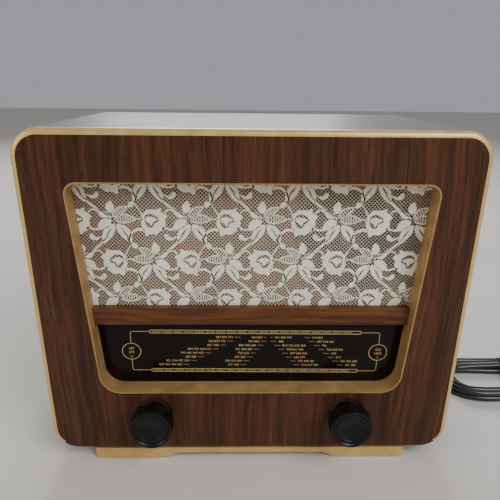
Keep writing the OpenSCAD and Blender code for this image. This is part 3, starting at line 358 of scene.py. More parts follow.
# Extruded PVC-and-rubber sheath, shiny from handling.
SHEATH = Finish("black_rubber_sheath", "#101011", "#1B1B1C", roughness=0.33, ior=1.52, coat=0.25,
                coat_roughness=0.2, mottle_mm=25, grit_mm=1.6, relief_mm=0.02)

BY_SLOT = {
    "walnut_veneer": SHELL_VENEER, "figured_veneer": VENEER, "gold_bronze_paint": GOLD,
    "cotton_lace": COTTON, "baffle_board": BAFFLE, "black_printed_glass": BLACK_GLASS,
    "plated_steel": STEEL, "white_enamel": ENAMEL, "moulded_phenolic": BROWN_BAKELITE,
    "lamp_glass": LAMP_GLASS, "braided_cord": CORD_COTTON, "turned_brass": BRASS,
    "pointer_enamel": POINTER_RED, "sheet_aluminium": ALUMINIUM, "black_bakelite": BAKELITE,
    "brown_felt": FELT, "cork_gasket": CORK, "cone_paper": CONE_PAPER, "wound_coil": COIL,
    "cast_magnet": MAGNET, "laminations": LAMINATION, "valve_glass": GLASS, "hardboard": HARDBOARD,
    "raw_beech": BEECH, "black_rubber": SHEATH,
}
# The liner takes the gold darkened as painted shade of the recess; the rail takes its redder mahogany.
BY_NODE = {"opening_liner": RECESS_GOLD_PAINTED_SHADE, "cross_rail": RAIL_WOOD}


# ---- Meshes ----


@dataclass
class Shape:
    """Points and faces of a mesh in the making."""
    points: np.ndarray
    faces: np.ndarray

    @staticmethod
    def joined(parts: list["Shape"]) -> "Shape":
        """One shape holding all the given ones, whose faces have the same number of corners."""
        starts = np.cumsum([0] + [len(p.points) for p in parts[:-1]])
        return Shape(np.vstack([p.points for p in parts]),
                     np.vstack([p.faces + n for p, n in zip(parts, starts)]))

    def flipped(self) -> "Shape":
        """The same shape with its faces turned over."""
        return Shape(self.points, self.faces[:, ::-1])

    def triangles(self) -> "Shape":
        """The same shape with each four-cornered face cut in two."""
        if self.faces.shape[1] == 3:
            return self
        return Shape(self.points, np.vstack([self.faces[:, [0, 1, 2]], self.faces[:, [0, 2, 3]]]))

    def to_front(self) -> "Shape":
        """The same shape, flipped if its faces look to the back."""
        a, b, c = (self.points[self.faces[:, k]] for k in range(3))
        return self.flipped() if np.cross(b - a, c - a)[:, 1].sum() > 0 else self

    def area(self) -> float:
        """Sum of the faces' areas, in square metres."""
        t = self.triangles()
        a, b, c = (t.points[t.faces[:, k]] for k in range(3))
        return float(np.linalg.norm(np.cross(b - a, c - a), axis=1).sum() / 2)


def grid(points: np.ndarray, wrap_rows: bool = False, wrap_columns: bool = False) -> Shape:
    """Turns a grid of points into quads, each joining a point to the next row and the next column.

    Args:
        points: rows by columns by three.
        wrap_rows: joins the last row to the first.
        wrap_columns: joins the last column to the first.
    Returns:
        The shape.
    """
    rows, columns = points.shape[:2]
    r = np.arange(rows if wrap_rows else rows - 1)[:, None]
    c = np.arange(columns if wrap_columns else columns - 1)[None, :]
    r1, c1 = (r + 1) % rows, (c + 1) % columns
    quads = np.stack([r * columns + c, r * columns + c1, r1 * columns + c1, r1 * columns + c], axis=-1)
    return Shape(points.reshape(-1, 3), quads.reshape(-1, 4))


def piece(name: str, shape: Shape, finish: Finish, smooth_deg: float = 40.0) -> bpy.types.Object:
    """Makes an object of a shape, smooth except at edges sharper than the given angle.

    Args:
        name: the piece's name.
        shape: points in the frame's own axes, in metres.
        finish: what it is made of.
        smooth_deg: angle above which an edge stays sharp; at 0 every face is flat.
    Returns:
        The object, at the origin.
    """
    mesh = bpy.data.meshes.new(name)
    mesh.from_pydata(shape.points.tolist(), [], shape.faces.tolist())
    mesh.update()
    mesh.polygons.foreach_set("use_smooth", [smooth_deg > 0] * len(mesh.polygons))
    if smooth_deg > 0:
        mesh.set_sharp_from_angle(angle=math.radians(smooth_deg))
    mesh.materials.append(finish.material())
    made = bpy.data.objects.new(name, mesh)
    bpy.context.scene.collection.objects.link(made)
    LOG.info("%s: %d faces, %s", name, len(mesh.polygons), finish.name)
    return made


def smoothed(knots: np.ndarray, per_span: int) -> np.ndarray:
    """Smooth curve through the knots (Catmull-Rom: each span a cubic of the four nearest knots).

    Args:
        knots: n by 2 or 3.
        per_span: points on each span.
    Returns:
        The curve's points, the last knot included.
    """
    padded = np.vstack([2 * knots[0] - knots[1], knots, 2 * knots[-1] - knots[-2]])
    a, b, c, d = (padded[k:len(padded) - 3 + k, None, :] for k in range(4))
    t = np.linspace(0, 1, per_span, endpoint=False)[None, :, None]
    curve = 0.5 * (2 * b + (c - a) * t + (2 * a - 5 * b + 4 * c - d) * t ** 2
                   + (3 * b - a - 3 * c + d) * t ** 3)
    return np.vstack([curve.reshape(-1, knots.shape[1]), knots[-1:]])


def respaced(line: np.ndarray, step: float) -> np.ndarray:
    """The same line with its points an even distance apart, close to step."""
    run = np.concatenate([[0.0], np.cumsum(np.linalg.norm(np.diff(line, axis=0), axis=1))])
    even = np.linspace(0, run[-1], max(2, int(round(run[-1] / step)) + 1))
    return np.stack([np.interp(even, run, line[:, k]) for k in range(line.shape[1])], axis=1)


def length_of(line: np.ndarray) -> float:
    """Length of a line of points."""
    return float(np.linalg.norm(np.diff(line, axis=0), axis=1).sum())


def tube(line: np.ndarray, radius: np.ndarray | float, sides: int = 16) -> Shape:
    """Round tube carried along a line, closed at both ends by a small dome point.

    Each ring is a circle in the plane square to the line, set out from a level direction, and the
    ends shrink to a point.

    Args:
        line: the centreline.
        radius: one radius, or one for each point.
        sides: points in a ring.
    Returns:
        The closed shape.
    """
    along = np.gradient(line, axis=0)
    along /= np.linalg.norm(along, axis=1, keepdims=True)
    level = np.cross([0.0, 0.03, 1.0], along)
    level /= np.linalg.norm(level, axis=1, keepdims=True)
    up = np.cross(along, level)
    turn = np.linspace(0, 2 * np.pi, sides, endpoint=False)
    r = np.broadcast_to(np.asarray(radius, float), len(line))[:, None, None]
    rings = (line[:, None, :] + r * (np.cos(turn)[None, :, None] * level[:, None, :]
                                     + np.sin(turn)[None, :, None] * up[:, None, :]))
    small = 0.02
    first = line[0] + (rings[0] - line[0]) * small
    last = line[-1] + (rings[-1] - line[-1]) * small
    whole = np.concatenate([first[None], rings, last[None]])
    return grid(whole, wrap_columns=True)


# ---- Lace ----


class Fill(Enum):
    """How a lace leaf is worked."""
    SOLID = "solid"
    SLIT = "slit"
    LADDER = "ladder"


@dataclass(frozen=True)
class Leaf:
    """One leaf: where its stalk joins the spray, its heading, its length and its width, in mm."""
    x: float
    z: float
    heading: float
    length: float
    width: float
    fill: Fill = Fill.SOLID
    bend: float = 0.6


@dataclass
class LaceCloth:
    """Machine lace stretched over the baffle: a diagonal net under rows of roses and leaf sprays.

    Alternate rows are mirrored and stand half a repeat to the side.
    """
    half_w: float = 155.5
    low: float = 152.6
    high: float = 275.5
    repeat: float = 62.2
    row_pitch: float = 35.7
    first_row: float = 266.8
    mirrored_x: float = 8.0
    plain_x: float = -20.4
    net_pitch: float = 2.25
    thread: float = 0.41
    thread_skew: float = 0.707
    crossing_gap: float = 0.06
    motif_depth: float = 16.18
    net_depth: float = 16.45
    thickness: float = 0.2
    rung_pitch: float = 2.0
    # Clock of the rose: angle in degrees against radius in mm round its heart, for the petals' outer
    # edge, the hole in the petals, and the heart in the hole.
    petals: tuple = ((5, 11.0), (17, 14.0), (34, 11.9), (47, 11.2), (54, 14.6), (62, 10.7), (83, 9.7),
                     (104, 9.7), (109, 11.0), (114, 9.6), (134, 9.2), (175, 8.6), (207, 9.2),
                     (237, 11.3), (249, 14.6), (259, 11.8), (272, 11.2), (284, 12.1), (304, 11.4),
                     (323, 12.0), (336, 12.0))
    hole: tuple = ((0, 6.2), (17, 6.1), (60, 5.6), (95, 6.3), (121, 6.6), (142, 6.8), (162, 6.0),
                   (186, 5.7), (210, 5.9), (238, 6.3), (261, 6.3), (282, 5.2), (303, 3.3), (336, 3.7))
    heart: tuple = ((0, 2.8), (12, 5.3), (40, 3.5), (70, 3.2), (102, 3.5), (135, 4.6), (160, 5.5),
                    (180, 4.9), (205, 3.2), (230, 2.8), (262, 4.2), (275, 3.4), (297, 1.5), (330, 1.5))

    def leaves(self) -> list[Leaf]:
        """The leaves of one spray, measured from its rose's centre."""
        x, z = -34.0, 3.6
        return [
            Leaf(x - 0.8, z + 4.2, 84, 10.5, 6.6, bend=0.3),
            Leaf(x + 1.0, z + 1.2, 34, 15.5, 6.6, Fill.LADDER),
            Leaf(x + 14.6, z + 9.4, 38, 7.0, 4.2),
            Leaf(x + 2.4, z - 1.6, 2, 18.0, 7.8, Fill.LADDER, 0.8),
            Leaf(x + 4.2, z - 5.4, -56, 20.0, 9.0, Fill.SLIT, 1.0),
            Leaf(x + 2.2, z - 5.4, -122, 20.0, 8.2, Fill.SLIT, -1.0),
            Leaf(x - 0.4, z - 1.6, -143, 14.6, 7.6, bend=-0.8),
            Leaf(x - 2.4, z + 1.2, 152, 9.6, 4.4),
        ]

    def stems(self) -> list[tuple[list, list]]:
        """Centre lines and widths of one spray's stems, links and curl, from its rose's centre."""
        x, z = -34.0, 3.6
        return [
            ([(x, z), (x - 5, z + 4.0), (x - 12, z + 9.0), (x - 19.5, z + 15.5), (x - 24, z + 20.5)],
             [1.2, 0.9, 0.8, 0.9, 1.0]),
            ([(x - 9.2, z - 22.0), (x - 14, z - 26.4), (x - 20, z - 29.6), (x - 25.5, z - 32.0)],
             [1.2, 0.9, 0.9, 1.0]),
            ([(x + 19.5, z - 0.2), (x + 22.5, z - 0.6), (x + 25.5, z - 1.0)], [0.8, 1.0, 1.6]),
            ([(x + 19.5, z + 12.4), (x + 22.6, z + 8.0), (x + 25.4, z + 2.6)], [0.8, 0.8, 1.2]),
            ([(x + 19.0, z + 13.0), (x + 21.6, z + 16.8), (x + 22.4, z + 19.0)], [0.9, 0.8, 0.8]),
            ([(x + 12.6, z - 21.0), (x + 14.6, z - 14.6), (x + 18.2, z - 11.0), (x + 22.2, z - 9.6),
              (x + 26.4, z - 10.6)], [0.9, 1.3, 2.2, 2.4, 2.4]),
            ([(x - 11.8, z - 9.6), (x - 15.0, z - 9.8), (x - 18.2, z - 8.6), (x - 21.0, z - 8.8)],
             [2.2, 1.4, 2.0, 1.6]),
            ([(x - 10.6, z + 5.6), (x - 13.4, z + 7.2), (x - 16.0, z + 6.8), (x - 18.4, z + 4.6)],
             [1.6, 1.0, 1.3, 1.2]),
            ([(9.9, -10.2), (11.0, -13.0), (14.0, -14.5), (16.8, -13.4), (19.0, -12.4)],
             [2.4, 4.2, 2.6, 1.2, 1.0]),
        ]

    def flat(self, plane: np.ndarray, depth: float) -> np.ndarray:
        """Lays a grid of X and Z, in millimetres, at a depth, kept inside the cloth's edges."""
        x = np.clip(plane[..., 0], -self.half_w, self.half_w)
        z = np.clip(plane[..., 1], self.low, self.high)
        y = np.full_like(x, FACE_Y / MM + depth)
        return np.stack([x, y, z], axis=-1) * MM

    def leaf_shapes(self, leaf: Leaf) -> list[np.ndarray]:
        """Grids of one leaf: half-width is a power of a sine along a slightly bent midrib.

        Args:
            leaf: the leaf.
        Returns:
            Grids of X and Z: two halves, or two borders with rungs between them.
        """
        u = np.linspace(0.0, 1.0, 27)
        angle = math.radians(leaf.heading)
        ahead = np.array([math.cos(angle), math.sin(angle)])
        side = np.array([-ahead[1], ahead[0]])
        bow = leaf.bend * np.sin(np.pi * u)
        rib = np.array([leaf.x, leaf.z]) + np.outer(u * leaf.length, ahead) + np.outer(bow, side)
        scallop = 1 + 0.09 * np.sin(u * leaf.length * 2 * np.pi / 2.3)
        half = leaf.width / 2 * np.sin(np.pi * u ** 0.85) ** 0.8 * scallop + 0.12
        if leaf.fill is Fill.SOLID:
            inner = np.zeros_like(u)
        elif leaf.fill is Fill.SLIT:
            inner = 0.72 * np.sin(np.pi * np.clip((u - 0.2) / 0.56, 0, 1)) ** 0.7
        else:
            inner = np.maximum(half - 1.05, 0.0)
        grids = [rib[:, None, :] + (sign * np.stack([inner, half], axis=1))[:, :, None] * side
                 for sign in (1, -1)]
        if leaf.fill is Fill.LADDER:
            for k in np.linspace(0.16, 0.86, int(0.7 * leaf.length / self.rung_pitch) + 1):
                reach = np.interp(k, u, inner)
                middle = np.stack([np.interp(k, u, rib[:, n]) for n in (0, 1)])
                rung = 0.4 * ahead
                across = np.linspace(-reach, reach, 3)[:, None] * side
                grids.append(np.stack([middle + across - rung, middle + across + rung], axis=1))
        return grids

    def rose_shapes(self) -> list[np.ndarray]:
        """Grids of the rose: petals round a hole, and a heart in it that touches at two places.

        Each edge is its clock, read round evenly; the petals' edge carries fine stitches as well.
        """
        degrees = np.linspace(0, 360, 91)
        turn = np.radians(degrees)
        clocks = [np.interp(degrees, *np.array(clock).T, period=360)
                  for clock in (self.petals, self.hole, self.heart)]
        outer = clocks[0] + 0.28 * np.sin(30 * turn)
        round_heart = np.stack([np.cos(turn), np.sin(turn)], axis=-1)[:, None, :]
        middle = np.array([-1.2, 1.2])
        return [middle + round_heart * np.stack([clocks[1], outer], axis=1)[:, :, None],
                middle + round_heart * np.stack([clocks[2] * 0.04, clocks[2]], axis=1)[:, :, None]]

    def stem_shape(self, knots: list, widths: list) -> np.ndarray:
        """Grid of a stem: a ribbon of changing width along its smoothed centre line."""
        line = smoothed(np.array(knots), 5)
        ahead = np.gradient(line, axis=0)
        ahead /= np.linalg.norm(ahead, axis=1, keepdims=True)
        width = np.interp(np.linspace(0, 1, len(line)), np.linspace(0, 1, len(widths)), widths)
        side = np.stack([-ahead[:, 1], ahead[:, 0]], axis=1) * width[:, None] / 2
        return np.stack([line - side, line + side], axis=1)

    def motif(self) -> list[np.ndarray]:
        """All grids of one rose with its spray, round the rose's centre."""
        grids = self.rose_shapes()
        for leaf in self.leaves():
            grids += self.leaf_shapes(leaf)
        return grids + [self.stem_shape(*s) for s in self.stems()]

    def facing(self, plane: np.ndarray, depth: float) -> Shape:
        """Shape of a grid at a depth, with its faces turned to the front."""
        return grid(self.flat(plane, depth)).to_front()

    def motifs(self) -> Shape:
        """Every rose and spray that shows on the cloth."""
        one = self.motif()
        shapes = []
        for row in range(5):
            sign = -1.0 if row % 2 == 0 else 1.0
            start = self.mirrored_x if row % 2 == 0 else self.plain_x
            z = self.first_row - row * self.row_pitch
            for k in range(-4, 5):
                x = start + k * self.repeat
                if abs(x) < self.half_w + 40:
                    shapes += [self.facing(g * [sign, 1.0] + [x, z], self.motif_depth) for g in one
                               if self.shows(g * [sign, 1.0] + [x, z])]
        return Shape.joined(shapes)

    def shows(self, plane: np.ndarray) -> bool:
        """Whether a grid has its middle inside the cloth's edges."""
        x, z = plane.reshape(-1, 2).mean(axis=0)
        return bool(abs(x) < self.half_w - 1 and self.low + 1 < z < self.high - 1)

    def net(self) -> Shape:
        """Diagonal threads both ways: each a flat strip clipped to the cloth by its own two ends."""
        width, height = 2 * self.half_w, self.high - self.low
        step = self.net_pitch * math.sqrt(2)
        starts = np.arange(-height, width, step)
        left = np.clip(starts, 0, width)
        right = np.clip(starts + height, 0, width)
        shapes = []
        for sign in (1.0, -1.0):
            x0, x1 = left, right
            z0, z1 = x0 - starts, x1 - starts
            ends = np.stack([np.stack([x0, z0], axis=-1), np.stack([x1, z1], axis=-1)], axis=1)
            ends = ends[(x1 - x0) > 2 * self.thread]
            ends = (ends - [width / 2, 0]) * [sign, 1.0] + [0, self.low]
            shift = np.array([self.thread * self.thread_skew, 0.0])
            strips = np.stack([ends - shift, ends + shift], axis=2)
            points = self.flat(strips, self.net_depth + (self.crossing_gap if sign > 0 else 0.0))
            quads = np.arange(len(ends))[:, None] * 4 + np.array([0, 1, 3, 2])
            shapes.append(Shape(points.reshape(-1, 3), quads).to_front())
        return Shape.joined(shapes)

    def build(self) -> None:
        """Makes the net and the motifs one sheet of cloth in place of the plain CAD one."""
        motifs, net = self.motifs(), self.net()
        cloth = piece("lace_cloth", Shape.joined([motifs, net]), COTTON, 0)
        # The net's faces take the darker yarn, its painted shade of thin threads.
        cloth.data.materials.append(COTTON_NET_PAINTED_SHADE.material())
        slots = np.zeros(len(cloth.data.polygons), np.int32)
        slots[len(motifs.faces):] = 1
        cloth.data.polygons.foreach_set("material_index", slots)
        solid = cloth.modifiers.new("yarn thickness", "SOLIDIFY")
        solid.thickness = self.thickness * MM
        solid.offset = 0.0
        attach(cloth, "cabinet")
        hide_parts("speaker_cloth")
        flat = (2 * self.half_w * MM, (self.high - self.low) * MM)
        covered = min(1.0, max(0.3, (motifs.area() + net.area()) / (flat[0] * flat[1])))
        LOG.info("lace covers %.2f of its area", covered)


# ---- Dial ----


@dataclass
class DialPrint:
    """Bronze print on the black dial glass: two double rails, two end circles and number rows."""
    depth: float = 15.93
    faint_depth: float = 15.96
    centre_x: float = 3.7
    tilt_deg: float = -0.38
    top_z: float = 128.5
    low_z: float = 88.2
    half_w: float = 95.4
    circle_x: float = 113.0
    circle_z: float = 108.0
    circle_r: float = 8.3
    line: float = 0.6
    row_z: tuple[float, float] = (123.2, 94.4)
    rows: int = 8
    digit: float = 3.1
    # How many figures stand in each row of the four columns, from the top.
    counts: tuple = ((3, 3, 2, 4, 4, 2, 4, 4), (2, 2, 3, 3, 2, 2, 3, 2),
                     (3, 1, 4, 3, 3, 2, 3, 3), (2, 3, 1, 3, 1, 1, 3, 2))

    def laid(self, x: np.ndarray, z: np.ndarray, depth: float) -> np.ndarray:
        """Points in metres of the print, turned by the glass's slight tilt about its centre."""
        c, s = math.cos(math.radians(self.tilt_deg)), math.sin(math.radians(self.tilt_deg))
        dz = z - self.circle_z
        return np.stack([self.centre_x + c * x - s * dz, np.full_like(x, FACE_Y / MM + depth),
                         self.circle_z + s * x + c * dz], axis=-1) * MM

    def strip(self, knots: np.ndarray, width: float, depth: float) -> Shape:
        """Flat ribbon along a line of X and Z knots, facing the front."""
        ahead = np.gradient(knots, axis=0)
        ahead /= np.linalg.norm(ahead, axis=1, keepdims=True)
        side = np.stack([-ahead[:, 1], ahead[:, 0]], axis=1) * width / 2
        edges = np.stack([knots - side, knots + side], axis=1)
        return grid(self.laid(edges[..., 0], edges[..., 1], depth)).to_front()

    def rails(self) -> list[Shape]:
        """Double lines above and below the rows, and the frame lines that run on to the circles."""
        w, made = self.half_w, []
        for z in (self.top_z, self.low_z):
            for dz in (-1.5, 1.5):
                made.append(self.strip(np.array([(-w, z + dz), (0, z + dz), (w, z + dz)]), self.line,
                                       self.depth))
            for s in (-1, 1):
                end = np.array([(s * w, z - 1.75), (s * w, z), (s * w, z + 1.75)])
                made.append(self.strip(end, self.line, self.depth))
        turn = np.radians(np.linspace(90, 0, 7))
        for s in (-1, 1):
            for z, down in ((self.top_z, 1.0), (self.low_z, -1.0)):
                bend_x, bend_r = self.circle_x - 2.2, 2.2
                corner = np.stack([s * (bend_x + bend_r * np.cos(turn)),
                                   z - down * (bend_r - bend_r * np.sin(turn))], axis=1)
                stop = np.array([[s * self.circle_x, self.circle_z + down * self.circle_r]])
                made.append(self.strip(np.vstack([[[s * w, z]], corner, stop]), self.line * 0.8,
                                       self.depth))
            ring = np.radians(np.linspace(0, 360, 49))
            made.append(self.strip(np.stack([s * self.circle_x + self.circle_r * np.cos(ring),
                                             self.circle_z + self.circle_r * np.sin(ring)], axis=1),
                                   self.line, self.depth))
        return made

    def dashes(self) -> list[Shape]:
        """Dim scale marks inside the rails, and one dim dash beside each number."""
        made = []
        for z in (self.top_z, self.low_z):
            for x in np.arange(-self.half_w + 2, self.half_w - 9, 9.6):
                made.append(self.strip(np.array([(x, z), (x + 8.2, z)]), 1.7, self.faint_depth))
        for n, z in enumerate(np.linspace(*self.row_z, self.rows)):
            for k, x in enumerate(self.columns(n)):
                start = x + 1.2 if k < 2 else x - 7.4
                made.append(self.strip(np.array([(start, z), (start + 5.6, z)]), 0.8, self.faint_depth))
        return made

    def columns(self, row: int) -> list[float]:
        """Inner ends of a row's four entries: two right-aligned on the left, two left-aligned."""
        return [-20.5 - 6.7 * row, 6.5 - 3.1 * row, 17.2 + 3.7 * row, 51.4 + 4.6 * row]

    def entry(self, row: int, column: int) -> str:
        """A made-up row of wavelengths, as many as the row's count."""
        count = self.counts[column][row]
        return " ".join(str(987 - 61 * row - 97 * k - 23 * column) for k in range(count))

    def digits(self, text: str, x: float, z: float, size: float, align: str = "LEFT") -> Shape:
        """Generic numbers as flat triangles.

        Args:
            text: the figures.
            x: left end in millimetres, or the right end where align is "RIGHT".
            z: base line, in millimetres.
            size: height of the font, in millimetres.
            align: which end of the figures stands at x, or "CENTER".
        Returns:
            The shape, facing the front.
        """
        curve = bpy.data.curves.new("figures", "FONT")
        curve.body, curve.size, curve.resolution_u, curve.align_x = text, size, 2, align
        holder = bpy.data.objects.new("figures", curve)
        bpy.context.scene.collection.objects.link(holder)
        bpy.context.view_layer.update()
        mesh = bpy.data.meshes.new_from_object(holder)
        mesh.calc_loop_triangles()
        points = np.empty(len(mesh.vertices) * 3, np.float32)
        mesh.vertices.foreach_get("co", points)
        points = points.reshape(-1, 3).astype(float)
        faces = np.empty(len(mesh.loop_triangles) * 3, np.int32)
        mesh.loop_triangles.foreach_get("vertices", faces)
        bpy.data.objects.remove(holder)
        bpy.data.meshes.remove(mesh)
        bpy.data.curves.remove(curve)
        shape = Shape(self.laid(x + points[:, 0], z + points[:, 1], self.depth), faces.reshape(-1, 3))
        return shape.to_front()

    def numbers(self) -> list[Shape]:
        """Eight rows of made-up wavelengths, and three figures inside each end circle."""
        made = []
        for n, z in enumerate(np.linspace(*self.row_z, self.rows)):
            for k, x in enumerate(self.columns(n)):
                made.append(self.digits(self.entry(n, k), x, z - 1.1, self.digit,
                                        "RIGHT" if k < 2 else "LEFT"))
        for s, values in ((-1, ("187", "375", "55")), (1, ("520", "1050", "16"))):
            for k, text in enumerate(values):
                made.append(self.digits(text, s * self.circle_x, self.circle_z + 1.8 - k * 4.0,
                                        3.6 if k < 2 else 2.4, "CENTER"))
        return made

    def build(self) -> None:
        """Makes the bright and the dim print."""
        bright = Shape.joined([s.triangles() for s in self.rails() + self.numbers()])
        dim = Shape.joined(self.dashes())
        for name, shape, ink in (("dial_print", bright, DIAL_INK), ("dial_print_dim", dim, FAINT_INK)):
            made = piece(name, shape, ink)
            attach(made, "cabinet")


# ---- Mains lead ----


@dataclass
class MainsLead:
    """Rubber-sheathed lead: a free stretch round the cabinet's corner, then a tied hank and a plug."""
    diameter: float = 6.6
    exit: tuple[float, float, float] = (126.0, 130.3, 42.0)
    hank_x: float = 295.0
    hank_y: float = 35.5
    straight: float = 29.5
    lanes: tuple[float, float, float] = (33.1, 26.6, 20.4)
    first_z: float = 3.6
    second_z: float = 10.3
    sleeve_x: float = 334.0
    plug_x: float = 358.0
    tie_x: float = 320.0

    def free_knots(self) -> np.ndarray:
        """Knots of the free stretch, from inside the strain relief to the hank's outer lane."""
        return np.array([(126, 124, 42), (126, 131, 42), (126, 142, 41), (127, 154, 37), (131, 166, 28),
                         (138, 176, 17), (148, 183, 8), (162, 186, 3.6), (178, 184, 3.4),
                         (194, 176, 3.4), (208, 163, 3.4), (219, 146, 3.4), (228, 127, 3.4),
                         (235, 109, 3.4), (244, 93, 3.4), (256, 79.5, 3.5), (271, 71.3, 3.6)], float)

    def hank_line(self) -> np.ndarray:
        """Centre line of the hank: half turns joined by straight runs, lane by lane, layer by layer.

        The lead goes round inwards on the table and outwards on top of itself; between two lanes its
        radius changes evenly along a whole turn.
        """
        turns, per = 5, 64
        share = np.arange(turns * per + 1) / per
        radius = np.interp(share, [0, 0.55, 1.05, 1.55, 2.05, 2.9, 3.4, 3.9, 4.4, 5.0],
                           [self.lanes[0], self.lanes[0], self.lanes[1], self.lanes[1], self.lanes[2],
                            self.lanes[2], self.lanes[1], self.lanes[1], self.lanes[0], self.lanes[0]])
        height = np.interp(share, [0, 2.45, 2.95, 5.0],
                           [self.first_z, self.first_z, self.second_z, self.second_z])
        # A turn is half a turn, a run, half a turn and a run; the phase gives the place on it.
        bend, run = math.pi * radius, 2 * self.straight
        place = (share % 1.0) * (2 * bend + 2 * run) + run / 2
        place = place % (2 * bend + 2 * run)
        x, y = np.zeros_like(share), np.zeros_like(share)
        first = place < run
        x[first], y[first] = place[first] - run / 2, radius[first]
        second = (place >= run) & (place < run + bend)
        angle = (place - run)[second] / radius[second]
        x[second] = run / 2 + radius[second] * np.sin(angle)
        y[second] = radius[second] * np.cos(angle)
        third = (place >= run + bend) & (place < 2 * run + bend)
        x[third], y[third] = run / 2 - (place - run - bend)[third], -radius[third]
        fourth = place >= 2 * run + bend
        angle = (place - 2 * run - bend)[fourth] / radius[fourth]
        x[fourth] = -run / 2 - radius[fourth] * np.sin(angle)
        y[fourth] = -radius[fourth] * np.cos(angle)
        return np.stack([self.hank_x + x, self.hank_y + y, height], axis=1)

    def route(self) -> np.ndarray:
        """Whole centre line in metres, from the strain relief to the plug."""
        end = np.array([(self.hank_x + 12, self.hank_y + self.lanes[0], self.second_z),
                        (self.hank_x + 28, self.hank_y + self.lanes[0] + 0.1, self.second_z - 0.1),
                        (self.sleeve_x + 10, 68.7, 9.5), (self.plug_x + 6, 68.7, 9.5)], float)
        knots = np.vstack([self.free_knots(), self.hank_line()[2:-1:4], end])
        return respaced(smoothed(knots, 6), 3.0) * MM

    def build(self) -> None:
        line = self.route()
        LOG.info("lead length %.3f m", length_of(line))
        lead = piece("mains_lead", tube(line, self.diameter / 2 * MM), SHEATH, 80)
        plug, tie = self.plug(), self.tie()
        for made, nodes in ((lead, ("mains_cord", "cord_hank")), (plug, ("plug_body",)),
                            (tie, ("cord_tie",))):
            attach(made, "cabinet")
            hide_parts(*nodes)

    def tie(self) -> bpy.types.Object:
        """Rubber band round the hank: a flat strip along a rounded rectangle (a superellipse)."""
        turn = np.linspace(0, 2 * np.pi, 72, endpoint=False)
        power = 0.35
        made = []
        for grow in (0.0, 1.0):
            y = (self.lanes[0] + self.diameter / 2 + 0.15 + grow) * np.sign(np.cos(turn)) \
                * np.abs(np.cos(turn)) ** power
            z = (6.75 + grow * 0.8) * np.sign(np.sin(turn)) * np.abs(np.sin(turn)) ** power
            made.append(np.stack([y + self.hank_y, z + 7.6], axis=-1))
        inner, outer = made
        rows = [(inner, -2.5), (outer, -2.5), (outer, 2.5), (inner, 2.5)]
        points = np.stack([np.concatenate([np.full((72, 1), self.tie_x + dx), ring], axis=1)
                           for ring, dx in rows]) * MM
        return piece("hank_tie", grid(points, wrap_rows=True, wrap_columns=True).flipped(), SHEATH)

    def plug(self) -> bpy.types.Object:
        """Moulded plug: rings along X whose outline is a superellipse that widens from the sleeve.

        The sleeve carries shallow ribs; the body has a waist for the fingers and a flat end.
        """
        x = np.concatenate([np.linspace(0, 22, 45), np.linspace(22.5, 60, 60)])
        body = np.clip((x - 20) / 12, 0, 1)
        body = body * body * (3 - 2 * body)
        ribs = 0.45 * np.maximum(0, np.sin(x * 2 * np.pi / 4.4)) * (x < 21)
        waist = 1.3 * np.exp(-((x - 44) / 6.0) ** 2)
        half_w = 4.3 + x * 0.03 + ribs + (18 - 5.0) * body - waist
        half_h = 4.3 + x * 0.03 + ribs + (9.4 - 5.0) * body - waist * 0.4
        end = np.clip((60 - x) / 1.5, 0, 1)
        half_w -= 1.2 * (1 - end)
        half_h -= 1.2 * (1 - end)
        power = (2 / (2 + 3 * body))[:, None]
        turn = np.linspace(0, 2 * np.pi, 64, endpoint=False)[None, :]
        y = half_w[:, None] * np.sign(np.cos(turn)) * np.abs(np.cos(turn)) ** power
        z = half_h[:, None] * np.sign(np.sin(turn)) * np.abs(np.sin(turn)) ** power
        rings = np.stack([np.broadcast_to(x[:, None] + self.sleeve_x, y.shape), y + 68.7, z + 9.5],
                         axis=-1)
        caps = [ring.mean(axis=0) + (ring - ring.mean(axis=0)) * 0.02 for ring in (rings[0], rings[-1])]
        whole = np.concatenate([caps[0][None], rings, caps[1][None]]) * MM
        return piece("mains_plug", grid(whole, wrap_columns=True).flipped(), BAKELITE, 50)


# ---- Studio ----


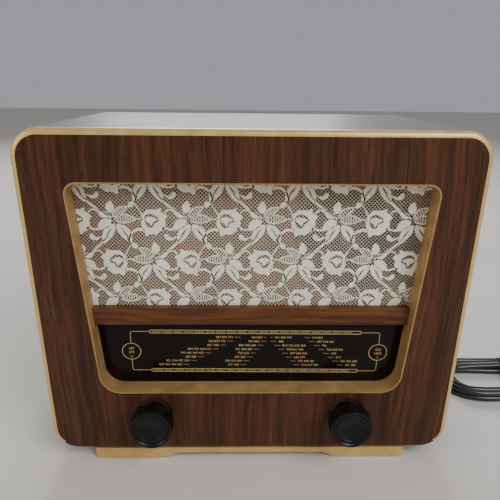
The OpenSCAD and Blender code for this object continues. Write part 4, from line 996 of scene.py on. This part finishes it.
@dataclass
class Studio:
    """Camera, pale floor and soft light."""
    place: tuple[float, float, float] = (-0.010, -0.4397, 0.3405)
    yaw: float = 1.19
    pitch: float = 19.66
    roll: float = 0.62
    lens: float = 33.7

    def camera(self) -> None:
        """Sets the camera from its place and its three angles."""
        yaw, pitch, roll = (math.radians(a) for a in (self.yaw, self.pitch, self.roll))
        ahead = np.array([math.sin(yaw) * math.cos(pitch), math.cos(yaw) * math.cos(pitch),
                          -math.sin(pitch)])
        right = np.array([math.cos(yaw), -math.sin(yaw), 0.0])
        up = np.cross(right, ahead)
        across = right * math.cos(roll) + up * math.sin(roll)
        above = -right * math.sin(roll) + up * math.cos(roll)
        data = bpy.data.cameras.new("view")
        data.lens, data.sensor_width, data.clip_start = self.lens, 36.0, 0.01
        eye = bpy.data.objects.new("view", data)
        turn = Matrix([[across[k], above[k], -ahead[k]] for k in range(3)])
        eye.matrix_world = Matrix.Translation(self.place) @ turn.to_4x4()
        bpy.context.scene.collection.objects.link(eye)
        bpy.context.scene.camera = eye

    def floor(self) -> None:
        """Wide level floor just under the felt pads."""
        half = 6.0
        corners = np.array([[-half, -half, 0], [half, -half, 0], [half, half, 0], [-half, half, 0]])
        paint = Finish("studio_floor", "#C9C4BB", "#CFCAC1", roughness=0.8, mottle_mm=400,
                       grit_mm=5, relief_mm=0.01)
        piece("studio_floor", Shape(corners, np.array([[0, 1, 2, 3]])), paint)

    def light(self, name: str, place: tuple, aim: tuple, size: float, watts: float, tint: str) -> None:
        """One square soft light that looks at a point.

        Args:
            name: the light's name.
            place: where it stands, in metres.
            aim: the point it looks at.
            size: its edge, in metres.
            watts: its power.
            tint: its colour as an sRGB hex value.
        """
        data = bpy.data.lights.new(name, "AREA")
        data.energy, data.size, data.color = watts, size, linear(tint)[:3]
        lamp = bpy.data.objects.new(name, data)
        lamp.location = place
        lamp.rotation_mode = "QUATERNION"
        lamp.rotation_quaternion = (Vector(aim) - Vector(place)).to_track_quat("-Z", "Y")
        bpy.context.scene.collection.objects.link(lamp)

    def build(self) -> None:
        """Sets up the whole studio."""
        self.camera()
        self.floor()
        world = bpy.data.worlds.new("pale_room")
        world.use_nodes = True
        sky = world.node_tree.nodes["Background"]
        sky.inputs[0].default_value = linear("#D9DCE2")
        sky.inputs[1].default_value = 0.5
        bpy.context.scene.world = world
        self.light("window", (1.1, -1.2, 1.5), (0.0, 0.0, 0.15), 1.2, 34, "#F8F8FF")
        self.light("ceiling", (-0.1, 1.9, 1.4), (0.0, 0.0, 0.2), 1.3, 42, "#F4F8FF")
        self.light("left_wall", (-1.5, -0.7, 0.8), (-0.1, 0.0, 0.15), 1.0, 10, "#FFF6E8")


class Carried:
    """Finishes of the CAD nodes that show as they are."""

    def build(self) -> None:
        """Gives every CAD node the finish of its material slot, or one of its own."""
        for part in frame["record"]["subparts"]:
            node = frame["nodes"][part["node"]]
            finish = BY_NODE.get(part["node"], BY_SLOT[part["material_slot"]])
            node.data.materials.clear()
            node.data.materials.append(finish.material())
            LOG.info("%s: %s", node.name, finish.name)


def main() -> None:
    """Builds the studio, then each sub-assembly in order."""
    logging.basicConfig(level=logging.INFO, format="%(name)s %(message)s")
    for part in (Studio(), Carried(), MainsLead(), LaceCloth(), DialPrint()):
        LOG.info("building %s", type(part).__name__)
        part.build()


if __name__ == "__main__":
    main()
